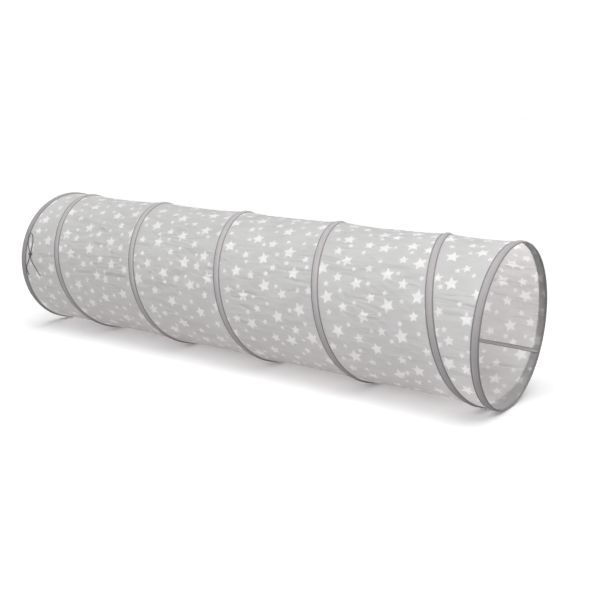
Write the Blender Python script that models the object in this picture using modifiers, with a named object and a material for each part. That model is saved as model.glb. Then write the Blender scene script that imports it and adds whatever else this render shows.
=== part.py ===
"""A kids play tunnel: star-printed fabric on one sprung wire coil, lying along X on the floor.

Angles are in degrees round the tunnel: 0 is the top, 90 the near side (-Y), 180 the floor.
The coil's angle goes on counting past 360, and the coil moves along +X as it grows.
Heights are radial, above the outside of the fabric.
"""

import math

import bmesh
import bpy
import numpy as np
from mathutils import Matrix, Vector

# Driving sizes, in metres
TUNNEL_LENGTH = 1.81
OUTER_RADIUS = 0.239
FABRIC_THICKNESS = 0.0008
TAPE_THICKNESS = 0.0006
TAPE_WIDTH = 0.025
TAPE_FOOT = 0.004
TAPE_SLOPE = 0.0045
HEM_LEG = 0.004
LAYER_GAP = 0.0003
END_GAP = 0.0006

# Spring wire
WIRE_RADIUS = 0.0011
WIRE_LANE_GAP = 0.0008
COIL_START_ANGLE = -128.0
COIL_END_ANGLE = 242.5
EASE_ANGLE = 72.0
FULL_TURNS = 4

# Crimped ferrules on the wire's end loops
FERRULE_LENGTH = 0.012
FERRULE_GAP = 0.0002
FERRULE_WALL = 0.00035
FERRULE_ARC_POINTS = 8

# Lengthwise seam
SEAM_ANGLE = 239.0
SEAM_TAPE_WIDTH = 0.012
SEAM_SLIT = 0.001

# Tie at the far end
TAB_ANGLE = 61.0
TAB_LENGTH = 0.010
TAB_WIDTH = 0.005
TAB_THICKNESS = 0.0014
CORD_RADIUS = 0.00175
CORD_PAIR_GAP = 0.0006
CORD_POINT_SPACING = 0.008
KNOT_ARC_POINTS = 6
KNOT_FROM_RIM = 0.0533
KNOT_ANGLE = 79.3
KNOT_HEIGHT = 0.0067

# Faceting
FACETS_PER_TURN = 40
CUTTER_OVERRUN = 0.01
WELD_DISTANCE = 0.00001

FULL_CIRCLE = 360.0
FACET_ANGLE = FULL_CIRCLE / FACETS_PER_TURN
HALF_FACET = FACET_ANGLE / 2
FLAT_COSINE = math.cos(math.radians(HALF_FACET))

# Sizes and places that follow
FERRULE_RADIUS = WIRE_RADIUS + FERRULE_GAP + FERRULE_WALL
WIRE_HEIGHT = LAYER_GAP + FERRULE_RADIUS
WIRE_LANE_SPACING = 2 * WIRE_RADIUS + WIRE_LANE_GAP
TAPE_RISE = WIRE_HEIGHT + FERRULE_RADIUS + LAYER_GAP + TAPE_THICKNESS
FABRIC_RADIUS = OUTER_RADIUS - TAPE_RISE
AXIS_HEIGHT = OUTER_RADIUS * FLAT_COSINE
LEFT_RIM_X = -TUNNEL_LENGTH / 2
RIGHT_RIM_X = TUNNEL_LENGTH / 2
TAPE_FOOT_HEIGHT = LAYER_GAP + TAPE_THICKNESS
LINING_HEIGHT = -FABRIC_THICKNESS - LAYER_GAP
LANE_INSET = TAPE_WIDTH / 2 + WIRE_LANE_SPACING / 2
COIL_LEFT_X = LEFT_RIM_X + LANE_INSET
COIL_RIGHT_X = RIGHT_RIM_X - LANE_INSET
COIL_LAST_ANGLE = FULL_TURNS * FULL_CIRCLE + COIL_END_ANGLE
COIL_SPAN_ANGLE = COIL_LAST_ANGLE - COIL_START_ANGLE
RISE_PER_DEGREE = (COIL_RIGHT_X - COIL_LEFT_X) / (COIL_SPAN_ANGLE - EASE_ANGLE)
NEAR_SIDE_ANGLE = 90.0

# The tape's section, from the rim inwards: place along X and height above the fabric
ARCH_START = TAPE_FOOT + TAPE_SLOPE
TAPE_SECTION = [
    (0.0, TAPE_FOOT_HEIGHT),
    (TAPE_FOOT, TAPE_FOOT_HEIGHT),
    (ARCH_START, TAPE_RISE),
    (TAPE_WIDTH - ARCH_START, TAPE_RISE),
    (TAPE_WIDTH - TAPE_FOOT, TAPE_FOOT_HEIGHT),
    (TAPE_WIDTH, TAPE_FOOT_HEIGHT),
]

# Tie routes: distance from the left rim, angle round the tunnel, height above the fabric
LEFT_STRAND_ROUTE = [
    (0.0260, 66.0, 0.0035),
    (0.0315, 70.6, 0.0047),
    (0.0425, 74.2, 0.0066),
    (0.0510, 78.0, 0.0067),
    (0.0513, 80.6, 0.0067),
    (0.0490, 83.2, 0.0066),
    (0.0430, 86.6, 0.0066),
    (0.0338, 90.3, 0.0064),
    (0.0355, 94.2, 0.0066),
    (0.0410, 97.6, 0.0067),
]
RIGHT_STRAND_ROUTE = [
    (0.0330, 61.1, 0.0044),
    (0.0455, 62.6, 0.0066),
    (0.0545, 66.4, 0.0066),
    (0.0582, 71.0, 0.0066),
    (0.0572, 74.6, 0.0066),
    (0.0555, 78.0, 0.0067),
    (0.0554, 80.6, 0.0067),
    (0.0592, 83.2, 0.0067),
    (0.0675, 86.0, 0.0069),
    (0.0855, 91.2, 0.0069),
    (0.1050, 96.8, 0.0067),
]


def ease_offset(angle):
    """How far the coil has left its end loop, this many degrees after the two part."""
    return RISE_PER_DEGREE * angle**2 / (2 * EASE_ANGLE)


def coil_x(angle):
    """Place along X of the coil's centre line at one of its angles."""
    after_start = max(angle - COIL_START_ANGLE, 0.0)
    before_end = max(COIL_LAST_ANGLE - angle, 0.0)
    if after_start < EASE_ANGLE:
        return COIL_LEFT_X + ease_offset(after_start)
    if before_end < EASE_ANGLE:
        return COIL_RIGHT_X - ease_offset(before_end)
    return COIL_LEFT_X + RISE_PER_DEGREE * (after_start - EASE_ANGLE / 2)


def station_after(angle):
    """The first facet corner at or past an angle."""
    return math.ceil((angle - HALF_FACET) / FACET_ANGLE) * FACET_ANGLE + HALF_FACET


def station_before(angle):
    """The last facet corner at or before an angle."""
    return -station_after(-angle)


def round_point(x, angle, radius):
    """A point at a distance from the tunnel's axis."""
    turn = math.radians(angle)
    return Vector((x, -radius * math.sin(turn), radius * math.cos(turn)))


def wall_point(x, angle, height):
    """A point at a height above the faceted fabric."""
    facet_middle = round(angle / FACET_ANGLE) * FACET_ANGLE
    flat = (FABRIC_RADIUS + height) * FLAT_COSINE
    return round_point(x, angle, flat / math.cos(math.radians(angle - facet_middle)))


def arc_angle(length):
    """Degrees round the wall that a length covers."""
    return math.degrees(length / FABRIC_RADIUS)


# Where the end loops and the coil share a tape, and where they part
CLEAR_OFFSET = TAPE_WIDTH + LAYER_GAP - WIRE_LANE_SPACING / 2
CLEAR_ANGLE = math.sqrt(CLEAR_OFFSET * 2 * EASE_ANGLE / RISE_PER_DEGREE)
LEFT_MOUTH_ANGLE = station_after(COIL_START_ANGLE + CLEAR_ANGLE)
RIGHT_MOUTH_ANGLE = station_before(COIL_END_ANGLE - CLEAR_ANGLE)
TURN_CUT_ANGLE = station_before(NEAR_SIDE_ANGLE + FULL_CIRCLE / 2)
LEFT_JOIN_ANGLE = station_before(COIL_START_ANGLE)
RIGHT_JOIN_ANGLE = station_after(COIL_LAST_ANGLE)

TURN_COUNT = FULL_TURNS + 1
TURN_X = [coil_x(NEAR_SIDE_ANGLE + FULL_CIRCLE * turn) for turn in range(TURN_COUNT)]


def clear_scene():
    for obj in list(bpy.data.objects):
        bpy.data.objects.remove(obj, do_unlink=True)


def new_collection(name):
    collection = bpy.data.collections.new(name)
    bpy.context.scene.collection.children.link(collection)
    return collection


def make_material(name, colour, roughness, metallic=0.0):
    material = bpy.data.materials.new(name)
    material.use_nodes = True
    shader = material.node_tree.nodes["Principled BSDF"]
    shader.inputs["Base Color"].default_value = (*colour, 1.0)
    shader.inputs["Roughness"].default_value = roughness
    shader.inputs["Metallic"].default_value = metallic
    return material


def make_body(collection, name, x):
    """An empty on the tunnel's axis, for the pieces that move together."""
    empty = bpy.data.objects.new(name, None)
    empty.location = (x, 0, AXIS_HEIGHT)
    empty.empty_display_size = OUTER_RADIUS / 2
    collection.objects.link(empty)
    return empty


def add_to_body(obj, collection, body, material):
    """Hang an object, modelled about the tunnel's middle, on its body."""
    obj.data.transform(Matrix.Translation((-body.location.x, 0, 0)))
    obj.data.materials.append(material)
    collection.objects.link(obj)
    obj.parent = body
    return obj


def smooth_faces(mesh):
    mesh.shade_smooth()
    mesh.set_sharp_from_angle(angle=math.radians(FACET_ANGLE * 2))


def strip_object(name, rows, closed_columns=0):
    """A shell over rows of points that run round the tunnel, solid inwards by the tape's thickness.

    The tape's section keeps square to the wall while it runs along an easing helix, and it widens
    where two tapes become one, so it is lofted. The first columns also close from last row to first.
    """
    bm = bmesh.new()
    grid = [[bm.verts.new(point) for point in row] for row in rows]
    pairs = [(first, second, len(first) - 1) for first, second in zip(grid, grid[1:])]
    if closed_columns:
        pairs.append((grid[-1], grid[0], closed_columns - 1))
    for first, second, cells in pairs:
        for column in range(cells):
            corners = (first[column], second[column], second[column + 1], first[column + 1])
            bm.faces.new(corners)
    mesh = bpy.data.meshes.new(name)
    bm.to_mesh(mesh)
    bm.free()
    smooth_faces(mesh)
    obj = bpy.data.objects.new(name, mesh)
    solidify = obj.modifiers.new("thickness", "SOLIDIFY")
    solidify.thickness = TAPE_THICKNESS
    solidify.offset = -1
    solidify.use_even_offset = True
    return obj


def tube_object(name, points, radius, resolution, cyclic=False):
    """A round bar along points."""
    curve = bpy.data.curves.new(name, "CURVE")
    curve.dimensions = "3D"
    curve.bevel_depth = radius
    curve.bevel_resolution = resolution
    curve.use_fill_caps = not cyclic
    spline = curve.splines.new("POLY")
    spline.points.add(len(points) - 1)
    for spline_point, point in zip(spline.points, points):
        spline_point.co = (*point, 1)
    spline.use_cyclic_u = cyclic
    return bpy.data.objects.new(name, curve)


def curve_mesh(name, curve):
    """The solid that a curve makes, as a mesh with its caps joined on."""
    outline = bpy.data.objects.new(name + "_outline", curve)
    bpy.context.scene.collection.objects.link(outline)
    evaluated = outline.evaluated_get(bpy.context.evaluated_depsgraph_get())
    mesh = bpy.data.meshes.new_from_object(evaluated)
    mesh.name = name
    bpy.data.objects.remove(outline, do_unlink=True)
    bm = bmesh.new()
    bm.from_mesh(mesh)
    bmesh.ops.remove_doubles(bm, verts=bm.verts, dist=WELD_DISTANCE)
    bm.to_mesh(mesh)
    bm.free()
    return mesh


def box_mesh(name, size):
    """A box about its own middle."""
    bm = bmesh.new()
    bmesh.ops.create_cube(bm, size=1.0)
    bmesh.ops.scale(bm, vec=size, verts=bm.verts)
    mesh = bpy.data.meshes.new(name)
    bm.to_mesh(mesh)
    bm.free()
    return mesh


def end_tape_rows(rim_x, side, merge_angle, mouth_angle):
    """Rows of the tape that wraps a rim.

    side is 1 at the left rim and -1 at the right. Counted away from the mouth and right round, the
    tape has its plain section until the coil joins it, and then grows wider with the coil's offset.
    """
    lining = LINING_HEIGHT - TAPE_THICKNESS
    turned_in = [(HEM_LEG, lining), (0.0, lining)]
    arch_middle = TAPE_WIDTH / 2
    fixed = turned_in + TAPE_SECTION[:3] + [(arch_middle, TAPE_RISE)]
    moving = TAPE_SECTION[3:]
    rows = []
    for step in range(FACETS_PER_TURN + 1):
        angle = mouth_angle + side * (FACET_ANGLE * step)
        parted = side * (angle - merge_angle) - FULL_CIRCLE
        offset = ease_offset(parted) if parted > 0 else 0.0
        if step == 0:
            angle += side * arc_angle(TAPE_FOOT)
        row = [wall_point(rim_x + side * along, angle, height) for along, height in fixed]
        row += [wall_point(rim_x + side * (along + offset), angle, height) for along, height in moving]
        rows.append(row)
    return rows, len(fixed)


def sleeve_rows(first_angle, last_angle):
    """Rows of the coil's tape between two facet corners, each end drawn back for its gap."""
    steps = round((last_angle - first_angle) / FACET_ANGLE)
    angles = [first_angle + FACET_ANGLE * step for step in range(steps + 1)]
    angles[0] += arc_angle(END_GAP / 2)
    angles[-1] -= arc_angle(END_GAP / 2)
    half = TAPE_WIDTH / 2
    return [
        [wall_point(coil_x(angle) - half + along, angle, height) for along, height in TAPE_SECTION]
        for angle in angles
    ]


def panel_object(name, start_x, end_x, cutters):
    """A length of the fabric wall, slit along its seam."""
    length = end_x - start_x
    bpy.ops.mesh.primitive_cylinder_add(
        vertices=FACETS_PER_TURN, radius=FABRIC_RADIUS, depth=length, end_fill_type="NOTHING"
    )
    panel = bpy.context.object
    panel.name = name
    panel.data.name = name
    lay_down = Matrix.Rotation(math.radians(NEAR_SIDE_ANGLE), 4, "Y")
    turn_flat = Matrix.Rotation(math.radians(HALF_FACET), 4, "X")
    middle = Matrix.Translation(((start_x + end_x) / 2, 0, 0))
    panel.data.transform(middle @ turn_flat @ lay_down)
    for collection in list(panel.users_collection):
        collection.objects.unlink(panel)
    smooth_faces(panel.data)
    solidify = panel.modifiers.new("thickness", "SOLIDIFY")
    solidify.thickness = FABRIC_THICKNESS
    solidify.offset = -1
    solidify.use_even_offset = True

    depth = FABRIC_THICKNESS + 2 * CUTTER_OVERRUN
    cutter_mesh = box_mesh(name + "_slit", (length + 2 * CUTTER_OVERRUN, SEAM_SLIT, depth))
    seat = round_point((start_x + end_x) / 2, SEAM_ANGLE, FABRIC_RADIUS)
    cutter_mesh.transform(Matrix.Translation(seat) @ Matrix.Rotation(math.radians(SEAM_ANGLE), 4, "X"))
    cutter = bpy.data.objects.new(name + "_slit", cutter_mesh)
    cutter.display_type = "WIRE"
    cutter.hide_render = True
    cutters.objects.link(cutter)
    slit = panel.modifiers.new("seam_slit", "BOOLEAN")
    slit.operation = "DIFFERENCE"
    slit.object = cutter
    return panel, cutter


def seam_rows(start_x, end_x):
    """Rows of the tape that binds the seam inside, bent with the wall's facets."""
    half = arc_angle(SEAM_TAPE_WIDTH / 2)
    corner = station_before(SEAM_ANGLE)
    angles = [SEAM_ANGLE - half, SEAM_ANGLE + half]
    if angles[0] < corner < angles[1]:
        angles.insert(1, corner)
    return [[wall_point(x, angle, LINING_HEIGHT) for x in (start_x, end_x)] for angle in angles]


def wire_points():
    """Points of the spring wire: a closed loop in each rim's tape, and the coil between them.

    Each loop runs in the lane next to the rim and shares one facet with the coil, side by side in
    a ferrule. The wire changes lanes over the two facets beyond that.
    """
    change = 2 * FACET_ANGLE
    left_full = LEFT_JOIN_ANGLE - FACET_ANGLE
    right_full = RIGHT_JOIN_ANGLE + FACET_ANGLE
    first = left_full - FULL_CIRCLE
    count = round((right_full + FULL_CIRCLE - first) / FACET_ANGLE) + 1
    points = []
    for step in range(count):
        angle = first + FACET_ANGLE * step
        in_left_loop = min(max((left_full - angle) / change, 0.0), 1.0)
        in_right_loop = min(max((angle - right_full) / change, 0.0), 1.0)
        x = coil_x(angle) + WIRE_LANE_SPACING * (in_right_loop - in_left_loop)
        points.append(wall_point(x, angle, WIRE_HEIGHT))
    return points


def least_wire_gap(points):
    """Least clear distance from the wire to itself, on points along its straight pieces."""
    fractions = np.linspace(0, 1, 5)[:-1]
    corners = np.array([tuple(point) for point in points])
    runs = corners[1:] - corners[:-1]
    places = (corners[:-1, None] + runs[:, None] * fractions[:, None]).reshape(-1, 3)
    apart = len(fractions) * FACETS_PER_TURN // 2
    least = math.inf
    for index in range(len(places) - apart):
        later = places[index + apart :]
        least = min(least, float(np.linalg.norm(later - places[index], axis=1).min()))
    return least - 2 * WIRE_RADIUS


def stadium_points(half_span, radius, arc_points):
    """An outline of two half circles whose middles are apart along the first axis."""
    outline = []
    for end in (1, -1):
        for step in range(arc_points + 1):
            turn = math.pi * (step / arc_points - 1 / 2)
            outline.append((end * (half_span + radius * math.cos(turn)), end * radius * math.sin(turn)))
    return outline


def facet_matrix(x, angle, height, shift=0.0):
    """Frame on the wall's facet at an angle: X along the tunnel, Y down round it, Z outwards."""
    facet_middle = round(angle / FACET_ANGLE) * FACET_ANGLE
    turn = Matrix.Rotation(math.radians(facet_middle), 4, "X")
    outwards = turn.col[2].xyz
    down = -turn.col[1].xyz
    flat = FABRIC_RADIUS * FLAT_COSINE
    along_facet = flat * math.tan(math.radians(angle - facet_middle)) + shift
    place = Vector((x, 0, 0)) + outwards * (flat + height) + down * along_facet
    return Matrix.Translation(place) @ turn


def ferrule_object(name, x, angle):
    """A flat crimped tube round the two wires, across a facet's middle."""
    curve = bpy.data.curves.new(name, "CURVE")
    curve.dimensions = "2D"
    curve.fill_mode = "BOTH"
    curve.extrude = FERRULE_LENGTH / 2
    half_span = WIRE_LANE_SPACING / 2
    for radius in (FERRULE_RADIUS, FERRULE_RADIUS - FERRULE_WALL):
        outline = stadium_points(half_span, radius, FERRULE_ARC_POINTS)
        spline = curve.splines.new("POLY")
        spline.points.add(len(outline) - 1)
        for spline_point, (along, up) in zip(spline.points, outline):
            spline_point.co = (along, up, 0, 1)
        spline.use_cyclic_u = True
    on_end = Matrix.Rotation(math.radians(NEAR_SIDE_ANGLE), 4, "X")
    wire_flat = WIRE_HEIGHT * FLAT_COSINE
    mesh = curve_mesh(name, curve)
    mesh.transform(facet_matrix(x, angle, wire_flat) @ on_end)
    return bpy.data.objects.new(name, mesh)


def smooth_route(points, spacing):
    """Points spaced evenly along a smooth curve through the given ones."""
    ends = [points[0] * 2 - points[1], *points, points[-1] * 2 - points[-2]]
    samples = 24
    fine = []
    for before, start, end, after in zip(ends, ends[1:], ends[2:], ends[3:]):
        for step in range(samples):
            t = step / samples
            fine.append(
                (
                    2 * start
                    + (end - before) * t
                    + (2 * before - 5 * start + 4 * end - after) * t**2
                    + (3 * start - before - 3 * end + after) * t**3
                )
                / 2
            )
    fine.append(points[-1])
    path = np.array([tuple(point) for point in fine])
    lengths = np.concatenate([[0], np.cumsum(np.linalg.norm(np.diff(path, axis=0), axis=1))])
    count = max(round(lengths[-1] / spacing), 2)
    wanted = np.linspace(0, lengths[-1], count + 1)
    return [Vector([np.interp(place, lengths, path[:, axis]) for axis in range(3)]) for place in wanted]


def build_end(collection, body, side, materials):
    """The tape and ferrule of one rim."""
    name = "left" if side == 1 else "right"
    rim_x = LEFT_RIM_X if side == 1 else RIGHT_RIM_X
    merge_angle = COIL_START_ANGLE if side == 1 else COIL_END_ANGLE
    mouth_angle = LEFT_MOUTH_ANGLE if side == 1 else RIGHT_MOUTH_ANGLE
    join_angle = LEFT_JOIN_ANGLE if side == 1 else RIGHT_JOIN_ANGLE
    rows, fixed_columns = end_tape_rows(rim_x, side, merge_angle, mouth_angle)
    tape = strip_object(name + "_rim_tape", rows, fixed_columns)
    add_to_body(tape, collection, body, materials["tape"])
    ferrule_x = rim_x + side * TAPE_WIDTH / 2
    ferrule = ferrule_object(name + "_ferrule", ferrule_x, join_angle - side * HALF_FACET)
    add_to_body(ferrule, collection, body, materials["metal"])


def build_turn(collection, cutters, body, turn, materials):
    """One turn of the coil's sleeve, with the fabric and the seam tape under it."""
    number = str(turn + 1)
    lap = FULL_CIRCLE * turn
    first_turn = turn == 0
    last_turn = turn == FULL_TURNS
    first_angle = LEFT_MOUTH_ANGLE if first_turn else lap + TURN_CUT_ANGLE - FULL_CIRCLE
    last_angle = lap + (RIGHT_MOUTH_ANGLE if last_turn else TURN_CUT_ANGLE)
    sleeve = strip_object("coil_sleeve_" + number, sleeve_rows(first_angle, last_angle))
    add_to_body(sleeve, collection, body, materials["tape"])

    rim_inset = TAPE_THICKNESS + LAYER_GAP
    seam_inset = HEM_LEG + END_GAP
    start_x = coil_x(first_angle) + END_GAP / 2
    end_x = coil_x(last_angle) - END_GAP / 2
    panel_start = LEFT_RIM_X + rim_inset if first_turn else start_x
    panel_end = RIGHT_RIM_X - rim_inset if last_turn else end_x
    panel, cutter = panel_object("fabric_panel_" + number, panel_start, panel_end, cutters)
    add_to_body(panel, collection, body, materials["fabric"])
    cutter.data.transform(Matrix.Translation((-body.location.x, 0, 0)))
    cutter.parent = body

    seam_start = LEFT_RIM_X + seam_inset if first_turn else start_x
    seam_end = RIGHT_RIM_X - seam_inset if last_turn else end_x
    seam = strip_object("seam_tape_" + number, seam_rows(seam_start, seam_end))
    add_to_body(seam, collection, body, materials["tape"])


def build_tie(collection, body, materials):
    """The cord tie sewn on the left rim's tape: a stitched tab, two strands and their knot."""
    tab_x = LEFT_RIM_X + TAPE_WIDTH - TAPE_FOOT + LAYER_GAP + TAB_WIDTH / 2
    tab_height = TAPE_FOOT_HEIGHT + LAYER_GAP + TAB_THICKNESS / 2
    tab_mesh = box_mesh("tie_tab", (TAB_WIDTH, TAB_LENGTH, TAB_THICKNESS))
    tab_mesh.transform(facet_matrix(tab_x, TAB_ANGLE, tab_height))
    add_to_body(bpy.data.objects.new("tie_tab", tab_mesh), collection, body, materials["tape"])

    cord_height = TAPE_FOOT_HEIGHT + LAYER_GAP + CORD_RADIUS
    below_tab = TAB_LENGTH / 2 + END_GAP
    beside_tab = TAB_WIDTH / 2 + END_GAP
    starts = {
        "tie_strand_left": [
            facet_matrix(tab_x, TAB_ANGLE, cord_height, below_tab + run).translation
            for run in (0, 2 * CORD_RADIUS)
        ],
        "tie_strand_right": [
            facet_matrix(tab_x + beside_tab + run, TAB_ANGLE, cord_height).translation
            for run in (0, CORD_RADIUS)
        ],
    }
    routes = {"tie_strand_left": LEFT_STRAND_ROUTE, "tie_strand_right": RIGHT_STRAND_ROUTE}
    for name, start in starts.items():
        route = start + [
            round_point(LEFT_RIM_X + from_rim, angle, FABRIC_RADIUS + height)
            for from_rim, angle, height in routes[name]
        ]
        strand = tube_object(name, smooth_route(route, CORD_POINT_SPACING), CORD_RADIUS, 2)
        add_to_body(strand, collection, body, materials["cord"])

    wrap_radius = 2 * CORD_RADIUS + LAYER_GAP
    wrap_half_span = CORD_RADIUS + CORD_PAIR_GAP / 2
    wrap = stadium_points(wrap_half_span, wrap_radius, KNOT_ARC_POINTS)
    knot = tube_object("tie_knot", [Vector((x, y, 0)) for x, y in wrap], CORD_RADIUS, 2, cyclic=True)
    around = Matrix.Rotation(math.radians(KNOT_ANGLE + NEAR_SIDE_ANGLE), 4, "X")
    knot_place = round_point(LEFT_RIM_X + KNOT_FROM_RIM, KNOT_ANGLE, FABRIC_RADIUS + KNOT_HEIGHT)
    knot.data.transform(Matrix.Translation(knot_place) @ around)
    add_to_body(knot, collection, body, materials["cord"])


def main():
    clear_scene()
    parts = new_collection("kids_play_tunnel")
    cutters = new_collection("cutters")
    materials = {
        "fabric": make_material("star_fabric", (0.56, 0.56, 0.57), 0.75),
        "tape": make_material("grey_tape", (0.30, 0.29, 0.30), 0.70),
        "cord": make_material("tie_cord", (0.16, 0.16, 0.17), 0.80),
        "metal": make_material("spring_steel", (0.55, 0.55, 0.56), 0.35, 1.0),
    }
    left = make_body(parts, "left_end_body", LEFT_RIM_X)
    turns = [make_body(parts, f"turn_{i + 1}_body", x) for i, x in enumerate(TURN_X)]
    right = make_body(parts, "right_end_body", RIGHT_RIM_X)

    points = wire_points()
    wire = tube_object("spring_wire", points, WIRE_RADIUS, 1)
    add_to_body(wire, parts, turns[FULL_TURNS // 2], materials["metal"])
    print(f"spring wire: least gap to itself {least_wire_gap(points) * 1000:.2f} mm")

    build_end(parts, left, 1, materials)
    build_end(parts, right, -1, materials)
    for turn, body in enumerate(turns):
        build_turn(parts, cutters, body, turn, materials)
    build_tie(parts, left, materials)


main()
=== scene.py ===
"""A kids play tunnel: star-printed fabric on one sprung wire coil, sewn into tape sleeves.

Angles are in degrees round the tunnel: 0 is the top, 90 the near side (-Y), 180 the floor.
The coil's angle goes on counting past 360, and the coil moves along +X as it grows.
Heights are radial, above the outside of the fabric. All sizes are in metres.
"""

import logging
import math
from dataclasses import dataclass, field
from enum import Enum
from typing import Sequence

import bmesh
import bpy
import numpy as np
from mathutils import Matrix, Vector


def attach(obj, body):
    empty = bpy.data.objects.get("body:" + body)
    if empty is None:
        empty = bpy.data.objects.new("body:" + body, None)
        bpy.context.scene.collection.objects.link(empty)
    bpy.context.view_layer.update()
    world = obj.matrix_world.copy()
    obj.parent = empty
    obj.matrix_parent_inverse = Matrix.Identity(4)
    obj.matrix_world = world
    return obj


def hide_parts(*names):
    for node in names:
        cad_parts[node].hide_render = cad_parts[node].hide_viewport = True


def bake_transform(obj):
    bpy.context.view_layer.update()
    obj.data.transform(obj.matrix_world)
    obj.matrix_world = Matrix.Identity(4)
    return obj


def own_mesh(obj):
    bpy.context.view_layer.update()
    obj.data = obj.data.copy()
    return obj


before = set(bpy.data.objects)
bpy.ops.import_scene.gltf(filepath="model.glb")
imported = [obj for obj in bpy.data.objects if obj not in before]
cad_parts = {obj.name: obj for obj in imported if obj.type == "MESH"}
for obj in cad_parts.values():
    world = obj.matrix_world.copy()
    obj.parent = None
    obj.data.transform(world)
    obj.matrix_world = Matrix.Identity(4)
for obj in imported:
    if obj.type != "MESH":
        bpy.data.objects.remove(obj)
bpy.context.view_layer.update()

LOG = logging.getLogger("play_tunnel")
FULL_CIRCLE = 360.0
WHOLE_TURN = 2 * math.pi
UV_NAME = "UVMap"
SHARP_ANGLE = 60.0
WHITE = (1.0, 1.0, 1.0, 1.0)
Colour = tuple[float, float, float]
Triple = tuple[float, float, float]
Stations = Sequence[float]
Values = np.ndarray | float
Span = tuple[float, float, str, str, float, float]
Socket = bpy.types.NodeSocket


# Sums on plain numbers


def eased(t: Values) -> Values:
    """A smooth step for numbers from 0 to 1."""
    return t * t * (3 - 2 * t)


def solid(colour: Colour, shade: float = 1.0) -> tuple[float, float, float, float]:
    """A colour made darker or lighter, with full cover."""
    return (*[part * shade for part in colour], 1.0)


def run_of(points: np.ndarray) -> np.ndarray:
    """The distance along a line at each of its points."""
    return np.concatenate([[0], np.cumsum(np.linalg.norm(np.diff(points, axis=0), axis=1))])


# Shader and geometry nodes


class Sketch:
    """Adds nodes to a tree, so that sums read as calls."""

    def __init__(self, tree: bpy.types.NodeTree) -> None:
        """Starts on an empty tree.

        Args:
            tree: The node tree that the nodes go into.
        """
        self.tree = tree
        tree.nodes.clear()

    def node(self, kind: str, **settings: object) -> bpy.types.Node:
        """Adds a node.

        Args:
            kind: Blender's name of the node's class.
            **settings: Properties to set on the node.

        Returns:
            The new node.
        """
        made = self.tree.nodes.new(kind)
        for name, value in settings.items():
            setattr(made, name, value)
        return made

    def feed(self, target: Socket, value: object) -> None:
        """Links a socket to an input, or sets the input to a plain value.

        Args:
            target: The input socket.
            value: Another node's output socket, a plain value, or None to leave the input alone.
        """
        if isinstance(value, Socket):
            self.tree.links.new(value, target)
        elif value is not None:
            target.default_value = value

    def call(self, kind: str, inputs: dict, output: object = 0, **settings: object) -> Socket:
        """Adds a node with its inputs fed.

        Args:
            kind: Blender's name of the node's class.
            inputs: Values or sockets by the input's name or index.
            output: Name or index of the output to hand back.
            **settings: Properties to set on the node.

        Returns:
            The wanted output socket.
        """
        made = self.node(kind, **settings)
        for name, value in inputs.items():
            self.feed(made.inputs[name], value)
        return made.outputs[output]

    def sum(self, operation: str, *values: object) -> Socket:
        """Adds a Math node.

        Args:
            operation: The node's operation.
            *values: Its inputs in order.

        Returns:
            The result's socket.
        """
        return self.call("ShaderNodeMath", dict(enumerate(values)), operation=operation)

    def vector(self, operation: str, *values: object, output: int = 0) -> Socket:
        """Adds a Vector Math node.

        Args:
            operation: The node's operation.
            *values: Its inputs in order.
            output: 0 for the vector result and 1 for the number.

        Returns:
            The result's socket.
        """
        return self.call("ShaderNodeVectorMath", dict(enumerate(values)), output, operation=operation)

    def scaled(self, vector: object, amount: object) -> Socket:
        """A vector or colour times a number."""
        return self.vector("SCALE", vector, None, None, amount)

    def fade(self, value: object, start: float, end: float, low: float = 0.0, high: float = 1.0) -> Socket:
        """A smooth step of a number.

        Args:
            value: The number.
            start: Where the step begins.
            end: Where it ends.
            low: The result before the step.
            high: The result after it.

        Returns:
            The result's socket.
        """
        inputs = {0: value, 1: start, 2: end, 3: low, 4: high}
        return self.call("ShaderNodeMapRange", inputs, interpolation_type="SMOOTHSTEP")

    def split(self, vector: object) -> tuple[Socket, ...]:
        """The three numbers of a vector.

        Args:
            vector: The vector.

        Returns:
            Their sockets.
        """
        made = self.node("ShaderNodeSeparateXYZ")
        self.feed(made.inputs[0], vector)
        return tuple(made.outputs)

    def join(self, x: object = 0.0, y: object = 0.0, z: object = 0.0) -> Socket:
        """A vector of three numbers."""
        return self.call("ShaderNodeCombineXYZ", {0: x, 1: y, 2: z})

    def mix_colour(self, share: object, first: object, second: object) -> Socket:
        """Mixes two colours.

        Args:
            share: How much of the second colour shows.
            first: The first colour.
            second: The second colour.

        Returns:
            The mixed colour's socket.
        """
        inputs = {0: share, 6: first, 7: second}
        return self.call("ShaderNodeMix", inputs, 2, data_type="RGBA", blend_type="MIX")

    def noise(self, place: object, scale: object = 1.0, detail: float = 2.0, **more: float) -> Socket:
        """Adds a noise.

        Args:
            place: Where it is read.
            scale: How many of its lumps go to a metre of the place.
            detail: How many finer layers it has.
            **more: Its other inputs, by name.

        Returns:
            The socket of the noise's number, from 0 to 1.
        """
        inputs = {"Vector": place, "Scale": scale, "Detail": detail, **more}
        return self.call("ShaderNodeTexNoise", inputs, 0)

    def bump(self, height: object, distance: float = 1.0, strength: float = 1.0) -> Socket:
        """The surface's normal, bent by a height in units of a distance."""
        inputs = {"Height": height, "Distance": distance, "Strength": strength}
        return self.call("ShaderNodeBump", inputs, "Normal")

    def own_map(self) -> Socket:
        """The place on the piece's own map, in metres."""
        return self.call("ShaderNodeUVMap", {}, uv_map=UV_NAME)

    def skin(self, inputs: dict) -> Socket:
        """Blender's main shader with its inputs fed."""
        return self.call("ShaderNodeBsdfPrincipled", inputs)

    def finish(self, shader: Socket, kind: str = "ShaderNodeOutputMaterial") -> None:
        """Ends the tree in a shader."""
        self.feed(self.node(kind).inputs[0], shader)


@dataclass(frozen=True)
class Entry:
    """A named input of a geometry tree.

    Attributes:
        name: The input's name.
        kind: Its socket type, after "NodeSocket".
    """

    name: str
    kind: str = "Float"


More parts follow.
